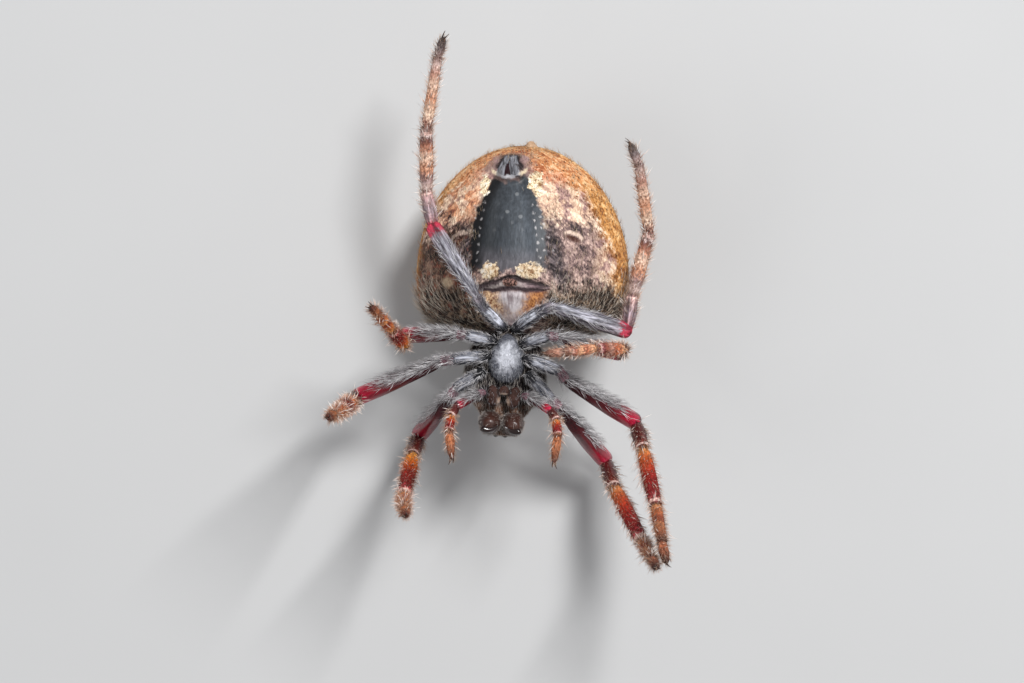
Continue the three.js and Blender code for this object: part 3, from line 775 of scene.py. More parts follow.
class Finish:
    """A material and short ways to add nodes to it."""

    def __init__(self, name):
        self.material = bpy.data.materials.new(name)
        self.material.use_nodes = True
        self.tree = self.material.node_tree
        self.surface = self.tree.nodes["Principled BSDF"]

    def node(self, kind, inputs=(), **settings):
        made = self.tree.nodes.new(kind)
        for key, value in settings.items():
            setattr(made, key, value)
        for key, value in dict(inputs).items():
            self.feed(made.inputs[key], value)
        return made

    def feed(self, socket, value):
        if isinstance(value, bpy.types.NodeSocket):
            self.tree.links.new(value, socket)
        elif isinstance(value, tuple) and len(value) == 3 and socket.type == "RGBA":
            socket.default_value = (*value, 1.0)
        else:
            socket.default_value = value

    def tone(self, name):
        made = self.node("ShaderNodeAttribute", attribute_name=name)
        return made.outputs["Fac"]

    def vector(self, name):
        made = self.node("ShaderNodeAttribute", attribute_name=name)
        return made.outputs["Vector"]

    def scaled(self, vector, scale, shift=(0, 0, 0)):
        return self.node("ShaderNodeMapping", {0: vector, 1: shift, 3: scale}).outputs[0]

    def work(self, how, a, b=0.0, clamp=False):
        return self.node("ShaderNodeMath", {0: a, 1: b}, operation=how, use_clamp=clamp).outputs[0]

    def plus(self, a, b):
        return self.work("ADD", a, b)

    def minus(self, a, b):
        return self.work("SUBTRACT", a, b)

    def times(self, *values):
        product = values[0]
        for value in values[1:]:
            product = self.work("MULTIPLY", product, value)
        return product

    def size(self, value):
        return self.work("ABSOLUTE", value)

    def split(self, vector):
        return self.node("ShaderNodeSeparateXYZ", {0: vector}).outputs

    def step(self, value, low, high, to_low=0.0, to_high=1.0):
        inputs = {"Value": value, "From Min": low, "From Max": high, "To Min": to_low, "To Max": to_high}
        made = self.node("ShaderNodeMapRange", inputs, interpolation_type="SMOOTHSTEP")
        return made.outputs["Result"]

    def mix(self, share, a, b, how="MIX"):
        made = self.node("ShaderNodeMix", data_type="RGBA", blend_type=how, clamp_factor=True)
        self.feed(made.inputs[0], share)
        self.feed(made.inputs[6], a)
        self.feed(made.inputs[7], b)
        return made.outputs[2]

    def noise(self, vector, scale, detail=3.0, rough=0.55, warp=0.0):
        inputs = {"Vector": vector, "Scale": scale, "Detail": detail, "Roughness": rough,
                  "Distortion": warp}
        return self.node("ShaderNodeTexNoise", inputs).outputs["Fac"]

    def cells(self, vector, scale, random):
        """How far off the middle of the nearest pebble is."""
        inputs = {"Vector": vector, "Scale": scale, "Randomness": random}
        return self.node("ShaderNodeTexVoronoi", inputs).outputs["Distance"]

    def grains(self, vector, scale):
        """A number from 0 to 1 for each grain of the skin, and how far off its middle is."""
        inputs = {"Vector": vector, "Scale": scale, "Smoothness": 0.25}
        made = self.node("ShaderNodeTexVoronoi", inputs, feature="SMOOTH_F1")
        tone = self.node("ShaderNodeSeparateColor", {0: made.outputs["Color"]}).outputs[0]
        return tone, made.outputs["Distance"]

    def ramp(self, value, stops):
        made = self.node("ShaderNodeValToRGB", {0: value})
        band = made.color_ramp
        band.elements[0].position, band.elements[1].position = stops[0][0], stops[-1][0]
        band.elements[0].color, band.elements[1].color = (*stops[0][1], 1), (*stops[-1][1], 1)
        for position, colour in stops[1:-1]:
            band.elements.new(position).color = (*colour, 1)
        return made.outputs["Color"]

    def bump(self, height, strength, distance, after=None):
        inputs = {"Height": height, "Strength": strength, "Distance": distance * MM}
        if after is not None:
            inputs["Normal"] = after
        return self.node("ShaderNodeBump", inputs).outputs["Normal"]

    def set(self, **values):
        for key, value in values.items():
            self.feed(self.surface.inputs[key.replace("_", " ")], value)
        return self.material


FRONT_LEG = [
    (0.0, (0.025, 0.025, 0.032)), (0.14, (0.04, 0.04, 0.05)), (0.155, (0.24, 0.12, 0.14)),
    (0.2, (0.12, 0.065, 0.08)), (0.27, (0.24, 0.13, 0.15)), (0.283, (0.03, 0.01, 0.012)),
    (0.3, (0.03, 0.002, 0.004)), (0.34, (0.06, 0.002, 0.006)), (0.38, (0.15, 0.003, 0.011)),
    (0.405, (0.3, 0.006, 0.024)), (0.418, (0.42, 0.012, 0.045)), (0.430, (0.012, 0.003, 0.003)),
    (0.445, (0.07, 0.006, 0.007)), (0.5, (0.055, 0.006, 0.006)), (0.545, (0.09, 0.014, 0.01)),
    (0.564, (0.16, 0.035, 0.025)), (0.573, (0.03, 0.006, 0.004)), (0.583, (0.56, 0.23, 0.08)),
    (0.6, (0.46, 0.1, 0.025)), (0.625, (0.36, 0.035, 0.01)), (0.65, (0.24, 0.01, 0.006)),
    (0.69, (0.17, 0.008, 0.009)), (0.706, (0.42, 0.07, 0.08)), (0.716, (0.04, 0.008, 0.007)),
    (0.73, (0.5, 0.22, 0.1)), (0.76, (0.42, 0.13, 0.05)), (0.785, (0.2, 0.035, 0.016)),
    (0.81, (0.42, 0.17, 0.08)), (0.84, (0.24, 0.08, 0.04)), (0.858, (0.04, 0.012, 0.01)),
    (0.89, (0.36, 0.12, 0.06)), (1.0, (0.05, 0.02, 0.015)),
]
WARM_LEG = [
    (0.574, (0.05, 0.01, 0.005)), (0.582, (0.9, 0.42, 0.09)), (0.6, (0.82, 0.25, 0.03)),
    (0.625, (0.6, 0.1, 0.014)), (0.645, (0.28, 0.018, 0.008)), (0.69, (0.15, 0.008, 0.008)),
    (0.704, (0.5, 0.08, 0.09)), (0.711, (0.55, 0.24, 0.2)), (0.716, (0.06, 0.01, 0.008)),
    (0.73, (0.74, 0.34, 0.12)), (0.755, (0.6, 0.17, 0.04)), (0.78, (0.3, 0.03, 0.012)),
    (0.8, (0.66, 0.27, 0.09)), (0.83, (0.3, 0.05, 0.02)), (0.85, (0.55, 0.26, 0.13)),
    (0.862, (0.08, 0.02, 0.012)), (0.9, (0.6, 0.22, 0.09)), (1.0, (0.1, 0.03, 0.02)),
]
HIND_LEG = [
    (0.0, (0.04, 0.04, 0.05)), (0.2, (0.08, 0.075, 0.09)), (0.27, (0.2, 0.17, 0.19)),
    (0.3, (0.16, 0.145, 0.17)), (0.405, (0.22, 0.19, 0.21)), (0.416, (0.26, 0.03, 0.05)),
    (0.426, (0.4, 0.03, 0.06)), (0.431, (0.1, 0.008, 0.012)), (0.442, (0.34, 0.05, 0.07)),
    (0.455, (0.28, 0.16, 0.17)), (0.5, (0.26, 0.2, 0.22)), (0.545, (0.3, 0.19, 0.19)),
    (0.563, (0.4, 0.25, 0.24)), (0.574, (0.1, 0.04, 0.04)),
    (0.586, (0.66, 0.52, 0.48)), (0.605, (0.3, 0.2, 0.2)), (0.63, (0.6, 0.29, 0.17)),
    (0.655, (0.74, 0.56, 0.44)), (0.675, (0.5, 0.22, 0.14)), (0.694, (0.12, 0.05, 0.05)),
    (0.706, (0.7, 0.58, 0.55)), (0.714, (0.12, 0.04, 0.035)), (0.725, (0.3, 0.13, 0.1)),
    (0.745, (0.78, 0.6, 0.46)), (0.775, (0.52, 0.24, 0.14)), (0.8, (0.7, 0.5, 0.38)),
    (0.825, (0.4, 0.2, 0.15)), (0.845, (0.6, 0.46, 0.42)), (0.86, (0.1, 0.04, 0.045)),
    (0.885, (0.5, 0.37, 0.35)), (0.94, (0.2, 0.16, 0.16)), (1.0, (0.06, 0.045, 0.04)),
]


def leg_colour(f, grain):
    """Slate bases, crimson thighs and ringed orange ends, in coarse grains."""
    ragged = f.minus(f.noise(grain, 4.0), 0.5)
    fleck = f.noise(f.scaled(grain, (1, 1, 0.65)), 13.0, 2.0, 0.6)
    shift = f.plus(f.times(ragged, 0.16), f.times(f.minus(fleck, 0.5), 0.25))
    reach = f.plus(f.tone("reach"), shift)
    share = f.times(reach, 1 / len(SEGMENTS))
    front = f.ramp(share, FRONT_LEG)
    beyond = f.times(f.step(f.tone("reach"), 3.99, 4.01), f.tone("warmth"))
    front = f.mix(beyond, front, f.ramp(share, WARM_LEG))
    side = f.plus(f.tone("grey_side"), f.times(ragged, 1.3))
    hairy = f.times(f.step(side, -0.15, 0.3), f.step(reach, 2.85, 2.45), f.step(reach, 1.9, 2.1))
    slate = f.mix(f.noise(f.scaled(grain, (6, 6, 1.2)), 1.0), (0.02, 0.018, 0.02), (0.22, 0.195, 0.2))
    front = f.mix(hairy, front, slate)
    colour = f.mix(f.tone("hind"), front, f.ramp(share, HIND_LEG))
    for end in (3.955, 4.95):
        ring = f.step(f.size(f.minus(f.tone("reach"), end)), 0.035, 0.018)
        colour = f.mix(f.times(ring, 0.85), colour, (0.72, 0.5, 0.45))
    # Near-black at the root of each leg: dark joint skin, with painted shade between the legs where they meet
    # the body.
    colour = f.mix(f.step(f.tone("reach"), 0.16, 0.0), colour, (0.006, 0.006, 0.008))
    # On the hips and hind thighs, a pale streaky stripe down the side that faces up to the lamps: painted
    # highlight, over pale patches of the skin.
    strip = f.step(f.plus(f.tone("grey_side"), f.times(ragged, 0.9)), 0.35, 0.85)
    hind_thigh = f.times(f.tone("hind"), f.step(reach, 1.9, 2.1), f.step(reach, 2.9, 2.7), 0.7)
    hip = f.plus(f.times(f.step(reach, 0.1, 0.25), f.step(reach, 1.0, 0.85)), hind_thigh)
    combed = f.step(f.noise(f.scaled(grain, (9, 9, 1)), 1.0, 4.0), 0.36, 0.62)
    colour = f.mix(f.times(strip, hip, 0.85), colour, f.mix(combed, (0.07, 0.075, 0.095), (0.4, 0.41, 0.46)))
    rough_end = f.step(reach, 3.95, 4.1)
    coarse = f.ramp(fleck, [(0.3, (0.3, 0.2, 0.17)), (0.5, (0.9, 0.86, 0.84)), (0.72, (1.6, 1.6, 1.6))])
    lengthwise = f.noise(f.scaled(grain, (7, 7, 0.7)), 1.0, 4.0)
    smooth_part = f.ramp(lengthwise, [(0.36, (0.3, 0.28, 0.3)), (0.5, (1, 1, 1)), (0.64, (2.2, 2.2, 2.2))])
    smooth_part = f.mix(f.tone("hind"), f.mix(0.35, (1, 1, 1), smooth_part), smooth_part)
    return f.mix(1.0, colour, f.mix(rough_end, smooth_part, coarse), "MULTIPLY")


def flecked(f, fleck, dark, mid, pale):
    """Grains of one zone of the skin, from its darkest to its palest."""
    return f.ramp(fleck, [(0.14, dark), (0.47, mid), (0.86, pale)])


def oval(f, spot, centre, size, ragged, soft, turn=0):
    """1 inside a ragged oval, which may lean, on the underside of the abdomen."""
    inputs = {0: spot, 1: (*centre, 0), 2: (0, 0, radians(turn)), 3: (*size, 1000)}
    flat = f.node("ShaderNodeMapping", inputs, vector_type="TEXTURE").outputs[0]
    away = f.node("ShaderNodeVectorMath", {0: flat}, operation="LENGTH").outputs["Value"]
    away = f.plus(away, f.times(ragged, 1.5))
    return f.step(away, 1.0 + soft, 1.0 - soft)


def dashes(f, x, y, start, slant, spacing, size, shift):
    """Pale dashes along a slanting row."""
    across = f.minus(x, f.plus(f.times(y, slant), start))
    phase = f.plus(f.times(y, 1 / spacing), shift + 40.0)
    along = f.times(f.minus(f.work("FRACT", phase), 0.5), spacing * 0.7)
    where = f.node("ShaderNodeCombineXYZ", {0: across, 1: along}).outputs[0]
    away = f.node("ShaderNodeVectorMath", {0: where}, operation="LENGTH").outputs["Value"]
    return f.step(away, size, size * 0.3)


ZONES = dict(
    gold=((0.22, 0.075, 0.018), (0.58, 0.26, 0.07), (0.88, 0.56, 0.26)),
    cream=((0.42, 0.24, 0.19), (0.78, 0.53, 0.37), (0.98, 0.84, 0.64)),
    rose=((0.32, 0.1, 0.05), (0.74, 0.34, 0.18), (0.94, 0.62, 0.41)),
    salmon=((0.4, 0.09, 0.03), (0.76, 0.31, 0.14), (0.96, 0.66, 0.42)),
    mauve=((0.14, 0.08, 0.08), (0.38, 0.22, 0.2), (0.66, 0.43, 0.36)),
    dusk=((0.045, 0.03, 0.032), (0.27, 0.175, 0.16), (0.74, 0.53, 0.45)),
    umber=((0.022, 0.012, 0.009), (0.12, 0.065, 0.048), (0.4, 0.24, 0.17)),
    flank=((0.01, 0.007, 0.006), (0.07, 0.045, 0.032), (0.36, 0.25, 0.17)),
)


def back_colour(f, spot, fleck, ragged):
    """The upper side: tawny, with a wavy-edged darker leaf that narrows to the tail."""
    x, y, _ = f.split(spot)
    wave = f.times(f.work("SINE", f.times(y, 3.4)), 0.16)
    half = f.plus(f.step(y, -1.5, 5.2, 2.5, 0.7), wave)
    inside = f.plus(f.minus(half, f.size(x)), f.times(ragged, 0.8))
    tawny = flecked(f, fleck, (0.1, 0.045, 0.015), (0.4, 0.2, 0.08), (0.75, 0.5, 0.28))
    leaf = flecked(f, fleck, (0.03, 0.015, 0.01), (0.15, 0.075, 0.04), (0.45, 0.28, 0.16))
    colour = f.mix(f.step(inside, -0.1, 0.12), tawny, leaf)
    edge = f.times(f.step(f.size(inside), 0.16, 0.03), 0.7)
    return f.mix(edge, colour, (0.72, 0.55, 0.36))


def side_colour(f, spot, fleck, coarse):
    """The mottled ground of the abdomen, zone by zone."""
    x, y, z = f.split(spot)
    zone = {name: flecked(f, fleck, *tones) for name, tones in ZONES.items()}
    dither = f.minus(fleck, 0.5)
    patch = f.noise(f.scaled(spot, (1, 1, 1)), 1.7, 3.0)
    colour = f.mix(f.step(patch, 0.5, 0.6), zone["cream"], zone["mauve"])
    left = f.step(x, -0.6, -2.2)
    warm = f.mix(f.step(patch, 0.46, 0.54), zone["rose"], zone["cream"])
    colour = f.mix(left, colour, warm)
    top = f.step(f.plus(y, f.times(coarse, 1.6)), 3.7, 4.5)
    colour = f.mix(top, colour, f.mix(f.step(x, -2.2, -1.0), zone["rose"], zone["mauve"]))
    colour = f.mix(f.times(top, f.step(x, 0.2, 0.8), 0.8), colour, zone["salmon"])
    lower = f.plus(f.plus(y, f.times(coarse, 2.6)), f.times(dither, 1.5))
    centre = f.plus(f.step(x, 3.9, 3.0), left)
    colour = f.mix(f.times(f.step(lower, 2.9, 1.7), f.work("MINIMUM", centre, 1.0)), colour, zone["dusk"])
    colour = f.mix(f.times(f.step(lower, 2.5, 1.5), f.step(x, -1.2, -2.2)), colour, zone["umber"])
    rim = f.minus(f.minus(z, f.times(x, 0.09)), 0.9)
    rim = f.plus(f.plus(rim, f.times(coarse, 1.3)), f.times(dither, 0.7))
    rim_on = f.step(rim, 0.3, -0.3)
    peach = f.mix(f.times(f.step(y, 3.4, 4.6), f.step(z, -0.8, 0.2), 0.6), zone["gold"], zone["salmon"])
    colour = f.mix(rim_on, colour, peach)
    pits = f.cells(f.scaled(spot, (1, 0.8, 1)), 4.4, 0.45)
    pit = f.times(f.step(pits, 0.27, 0.14), f.step(rim, 0.9, 0.0), f.step(z, -0.9, -0.4), 0.85)
    colour = f.mix(pit, colour, (0.1, 0.04, 0.01))
    hairy = f.plus(f.plus(f.times(z, -0.25), y), f.times(coarse, 1.4))
    hairy = f.plus(hairy, f.times(dither, 0.9))
    beside = f.work("MAXIMUM", f.step(f.size(x), 0.9, 1.6), f.step(z, 1.6, 0.8))
    low = f.times(f.step(hairy, -0.3, -1.3), beside)
    return f.mix(low, colour, zone["flank"])


def slate_field(f, spot, ragged):
    """How much of each point is the bare slate field, its colour and the dusk round it."""
    x, y, z = f.split(spot)
    behind = f.work("MAXIMUM", f.minus(y, 1.4), 0.0)
    wide = f.minus(1.66, f.times(behind, behind, 0.1))
    aside = f.size(f.plus(x, 0.31))
    inside = f.minus(wide, f.plus(aside, f.times(ragged, 0.5)))
    ends = f.times(f.step(f.plus(y, ragged), 0.3, 0.6), f.step(y, 5.0, 4.7), f.step(z, 0.2, 0.9))
    field = f.times(f.step(inside, -0.1, 0.12), ends)
    streaks = f.noise(f.scaled(spot, (9, 1.1, 9)), 1.0, 4.0, 0.6)
    across = f.step(x, -1.5, 0.9)
    slate = f.mix(across, (0.02, 0.023, 0.027), (0.1, 0.115, 0.135))
    slate = f.mix(f.times(f.step(y, 1.7, 0.6), 0.75), slate, (0.15, 0.135, 0.15))
    slate = f.mix(f.step(streaks, 0.35, 0.7), f.mix(1.0, slate, (0.6, 0.6, 0.6), "MULTIPLY"), slate)
    edge = f.times(f.step(inside, 0.75, 0.25), f.step(x, 0.6, -0.5, 0.45, 0.98))
    slate = f.mix(edge, slate, (0.005, 0.005, 0.006))
    strength = f.step(x, 0.6, -0.8, 0.5, 0.9)
    halo = f.times(f.step(inside, -0.75, -0.1), f.step(y, 3.4, 2.2), ends, f.minus(1.0, field), strength)
    return field, slate, halo


DASH_ROWS = [                     # start across, slant, spacing, half size, shift
    (-1.74, 0.11, 0.35, 0.07, 0.0), (-2.05, 0.12, 0.52, 0.05, 0.4), (1.2, -0.15, 0.31, 0.075, 0.2),
    (1.5, -0.17, 0.47, 0.055, 0.7), (2.06, -0.34, 0.55, 0.06, 0.1),
]
PALE_SPOTS = [((-1.4, 4.02), (0.22, 0.42)), ((0.82, 4.1), (0.32, 0.52)),
              ((-1.03, 0.46), (0.43, 0.37)), ((0.64, 0.45), (0.52, 0.37))]


def left_marks(f, spot, colour, ragged):
    """Rusty smudges and one buff spot low on the left flank."""
    x, y, z = f.split(spot)
    where = f.times(f.step(x, -1.5, -2.3), f.step(y, 2.3, 1.3), f.step(y, -1.8, -1.0), f.step(z, -0.6, 0.2))
    smudge = f.times(f.step(f.noise(spot, 2.6, 3.0), 0.52, 0.66), where, 0.55)
    colour = f.mix(smudge, colour, (0.34, 0.09, 0.05))
    buff = f.times(oval(f, spot, (-3.0, -0.1), (0.26, 0.22), ragged, 0.4), f.step(z, -0.6, 0.2), 0.7)
    return f.mix(buff, colour, (0.82, 0.62, 0.42))


def pale_marks(f, spot, colour, fleck, ragged):
    """Rows of dashes beside the field and the four butter-coloured spots at its corners."""
    x, y, z = f.split(spot)
    under = f.step(z, 0.2, 0.9)
    strayed = f.plus(x, f.times(ragged, 0.3))
    for row in DASH_ROWS:
        mark = f.times(dashes(f, strayed, y, *row), under, f.step(y, 0.7, 1.0), f.step(y, 3.7, 3.3))
        mark = f.times(mark, f.step(fleck, 0.2, 0.6), f.step(x, -1.0, 0.5, 0.4, 0.62))
        colour = f.mix(mark, colour, (0.6, 0.57, 0.57))
    # Three small pale rings on the slate field: painted glints.
    for centre in ((0.02, 3.66), (-0.36, 2.93), (0.21, 2.73)):
        ring = oval(f, spot, centre, (0.08, 0.07), ragged, 0.4)
        colour = f.mix(f.times(ring, under, 0.3), colour, (0.4, 0.41, 0.42))
    butter = flecked(f, fleck, (0.3, 0.15, 0.06), (0.93, 0.74, 0.47), (1.0, 0.96, 0.84))
    veins = f.noise(spot, 3.6, 2.0, 0.5, 1.5)
    butter = f.mix(f.times(f.step(f.size(f.minus(veins, 0.5)), 0.03, 0.006), 0.8), butter, (0.1, 0.05, 0.02))
    for centre, size in PALE_SPOTS:
        uneven = f.plus(ragged, f.times(f.minus(0.5, fleck), 0.35))
        tone = f.mix(1.0, butter, (1, 1, 1) if centre[1] > 2 else (0.74, 0.71, 0.72), "MULTIPLY")
        colour = f.mix(f.times(oval(f, spot, centre, size, uneven, 0.12), under), colour, tone)
    return colour


def front_marks(f, spot, colour, fine, ragged):
    """The furrow, its lips, the pale neck in front of it and the knob on it."""
    x, y, z = f.split(spot)
    under = f.step(z, 0.2, 0.9)
    off = f.plus(x, 0.15)
    peak = f.times(f.step(f.size(off), 0.75, 0.0), 0.13)
    gap = f.plus(f.plus(f.minus(y, f.plus(0.11, peak)), f.times(off, off, 0.125)), f.times(ragged, 0.25))
    thick = f.work("MAXIMUM", f.minus(0.64, f.times(off, off, 0.183)), 0.06)
    depth = f.work("DIVIDE", gap, thick)
    wide = f.times(f.step(f.plus(f.size(off), f.times(ragged, 0.6)), 1.85, 1.4), under)
    lips = f.times(f.step(depth, 0.12, -0.05), f.step(depth, -1.05, -0.85), wide)
    combed = f.noise(f.scaled(spot, (1, 6, 1)), 1.4, 3.0)
    crest = f.times(f.step(f.size(f.plus(depth, 0.42)), 0.34, 0.04), f.step(f.size(off), 1.5, 0.3, 0.25, 1.0))
    lip = f.plus(f.times(crest, 0.6), f.times(f.minus(combed, 0.45), 1.0))
    flesh = f.mix(f.times(f.step(x, -0.1, 1.0), 0.7), (0.4, 0.34, 0.32), (0.36, 0.21, 0.25))
    colour = f.mix(lips, colour, f.mix(f.step(lip, 0.05, 0.8), (0.05, 0.033, 0.036), flesh))
    half = f.plus(f.step(y, -0.4, -2.5, 1.35, 0.22), f.times(ragged, 0.75))
    neck = f.minus(half, f.size(f.plus(x, 0.1)))
    neck_on = f.times(f.step(neck, -0.25, 0.25), f.step(depth, -0.85, -1.05), f.step(y, 0.1, -0.1), under)
    amber = f.times(f.step(neck, 0.95, 0.4), f.step(y, -1.8, -1.0))
    strands = f.noise(f.scaled(spot, (6, 1.6, 1)), 1.3, 5.0, 0.6)
    pale = f.mix(f.step(strands, 0.34, 0.64), (0.26, 0.21, 0.22), (0.58, 0.53, 0.54))
    pale = f.mix(f.step(y, -1.2, -2.0), pale, (0.6, 0.48, 0.5))
    straw = f.mix(f.step(x, -0.2, 0.6), (0.72, 0.5, 0.3), (0.56, 0.25, 0.085))
    hairs = f.mix(f.step(fine, 0.3, 0.7), (0.15, 0.04, 0.014), straw)
    colour = f.mix(neck_on, colour, f.mix(amber, pale, hairs))
    groove = f.times(f.step(f.size(gap), 0.1, 0.015), wide, f.step(f.size(off), 1.7, 0.5, 0.6, 0.92))
    colour = f.mix(groove, colour, (0.012, 0.007, 0.007))
    # A dark line along the front edge of the lips, stronger to the right: painted shade under the lip's edge.
    lower_lip_shade = f.plus(f.size(f.plus(depth, 0.94)), f.times(f.size(ragged), 0.3))
    lower_lip_shade = f.times(f.step(lower_lip_shade, 0.2, 0.02), wide, f.step(x, -0.9, 0.9, 0.2, 0.55))
    colour = f.mix(lower_lip_shade, colour, (0.07, 0.026, 0.032))
    knob = f.times(oval(f, spot, (-0.18, -0.02), (0.33, 0.17), f.times(ragged, 0.7), 0.2), under)
    colour = f.mix(knob, colour, f.mix(f.step(fine, 0.35, 0.68), (0.02, 0.008, 0.006), (0.38, 0.2, 0.16)))
    for side, strength in ((1, 0.85), (-1, 0.4)):
        slit = f.times(ragged, 0.6)
        lid = oval(f, spot, (side * 2.46, 1.85), (0.4, 0.21), slit, 0.2, side * -26)
        inner = oval(f, spot, (side * 2.42, 1.74), (0.36, 0.17), slit, 0.2, side * -26)
        crease = oval(f, spot, (side * 2.42, 1.76), (0.32, 0.1), slit, 0.35, side * -26)
        colour = f.mix(f.times(lid, f.minus(1.0, inner), under, strength), colour, (0.82, 0.63, 0.51))
        colour = f.mix(f.times(crease, under, strength), colour, (0.07, 0.02, 0.012))
    return colour


def tail_marks(f, spot, colour, fine, ragged):
    """Two grey spinnerets side by side in a dark pit, with a pale rim in front of them."""
    x, y, z = f.split(spot)
    under = f.step(z, 0.0, 0.6)
    ring = f.times(oval(f, spot, (-0.4, 4.86), (1.05, 0.62), ragged, 0.3), under, 0.85)
    colour = f.mix(ring, colour, f.mix(fine, (0.12, 0.07, 0.06), (0.4, 0.27, 0.24)))
    across, up = f.plus(x, 0.4), f.minus(y, 4.84)
    tail = f.times(oval(f, spot, (-0.4, 4.86), (0.62, 0.46), f.times(ragged, 0.5), 0.15), under)
    colour = f.mix(tail, colour, (0.016, 0.008, 0.009))
    for side in (-1, 1):
        lobe = oval(f, spot, (side * 0.62 - 0.4, 5.05), (0.17, 0.16), f.times(ragged, 1.6), 0.4)
        colour = f.mix(f.times(lobe, under, 0.6), colour, (0.46, 0.29, 0.28))
    fan = f.minus(f.step(up, -0.36, 0.34, 0.56, 0.3), f.size(across))
    fan = f.times(f.step(fan, -0.03, 0.04), f.step(up, -0.44, -0.36), f.step(up, 0.42, 0.34), under)
    combed = f.noise(f.scaled(spot, (9, 1.5, 1)), 1.2, 3.0)
    colour = f.mix(fan, colour, f.mix(f.step(combed, 0.34, 0.66), (0.045, 0.045, 0.052), (0.28, 0.28, 0.31)))
    # A dark line down the middle between the two spinnerets, which the softened skin fuses: painted shade in
    # the gap between them.
    slit = f.times(f.step(f.minus(f.step(up, 0.25, -0.4, 0.03, 0.13), f.size(across)), -0.03, 0.02), fan)
    colour = f.mix(slit, colour, (0.02, 0.004, 0.007))
    curve = f.minus(up, f.minus(f.times(across, across, 0.42), 0.45))
    rim = f.step(f.plus(f.size(curve), f.times(f.size(ragged), 0.5)), 0.15, 0.05)
    rim = f.times(rim, f.step(f.size(across), 0.85, 0.7), under)
    tone = f.mix(f.step(f.size(across), 0.4, 0.65), (0.5, 0.5, 0.53), (0.85, 0.7, 0.48))
    return f.mix(f.times(rim, 0.75), colour, tone)


def slanting(f, spot, size):
    """Texture space drawn out along slanting lines that run back from the midline."""
    x, y, z = f.split(spot)
    folded = f.node("ShaderNodeCombineXYZ", {0: f.size(x), 1: y, 2: z}).outputs[0]
    inputs = {0: folded, 2: (0, 0, radians(-38)), 3: size}
    return f.node("ShaderNodeMapping", inputs, vector_type="TEXTURE").outputs[0]


def belly_colour(f, spot):
    """Every marking of the abdomen, how much of each point is bare slate, and its flecks."""
    z = f.split(spot)[2]
    coarse = f.minus(f.noise(spot, 0.8, 3.0), 0.5)
    ragged = f.minus(f.noise(spot, 3.2, 4.0), 0.5)
    stray = f.node("ShaderNodeTexNoise", {"Vector": spot, "Scale": 3.0}).outputs["Color"]
    stray = f.scaled(stray, (0.25, 0.25, 0.25))
    bent = f.node("ShaderNodeVectorMath", {0: spot, 1: stray}, operation="ADD").outputs[0]
    fleck, off = f.grains(f.scaled(bent, (1.35, 0.85, 1.35)), 7.6)
    small = f.grains(f.scaled(bent, (1.3, 0.8, 1.3)), 14.0)[0]
    fine = f.noise(f.scaled(spot, (12, 8, 12)), 1.0, 3.0, 0.65)
    blotch = f.minus(f.noise(slanting(f, spot, (1.5, 0.8, 0.9)), 1.9, 3.0), 0.5)
    stroke = f.minus(f.noise(slanting(f, spot, (2.0, 0.42, 0.9)), 2.6, 3.0, 0.6), 0.5)
    fleck = f.plus(f.plus(f.times(fleck, 0.34), f.times(small, 0.2)), 0.23)
    fleck = f.plus(fleck, f.plus(f.times(blotch, 1.2), f.times(stroke, 0.95)))
    fleck = f.plus(fleck, f.plus(f.times(f.minus(fine, 0.5), 0.5), f.times(f.minus(0.4, off), 0.22)))
    colour = side_colour(f, spot, fleck, coarse)
    colour = f.mix(f.step(f.plus(z, coarse), -0.4, -1.3), colour, back_colour(f, spot, fleck, ragged))
    tail = abdomen_point(KNOBS[0][0], 0.9966, KNOBS[0][1], 0)
    away = f.node("ShaderNodeVectorMath", {0: spot, 1: tail}, operation="DISTANCE").outputs["Value"]
    colour = f.mix(f.step(away, 0.42, 0.26), colour, f.mix(fine, (0.4, 0.2, 0.1), (0.95, 0.66, 0.43)))
    field, slate, halo = slate_field(f, spot, ragged)
    shadow = flecked(f, fleck, (0.006, 0.005, 0.006), (0.04, 0.032, 0.036), (0.2, 0.16, 0.17))
    colour = f.mix(halo, colour, shadow)
    flank_band = f.times(oval(f, spot, (1.7, 1.0), (0.4, 1.4), f.times(ragged, 0.9), 0.5, 17), 0.88)
    colour = f.mix(f.times(flank_band, f.step(z, 0.2, 0.9)), colour, shadow)
    colour = left_marks(f, spot, colour, ragged)
    colour = f.mix(field, colour, slate)
    colour = pale_marks(f, spot, colour, fleck, ragged)
    colour = front_marks(f, spot, colour, fine, ragged)
    return tail_marks(f, spot, colour, fine, ragged), field, fleck


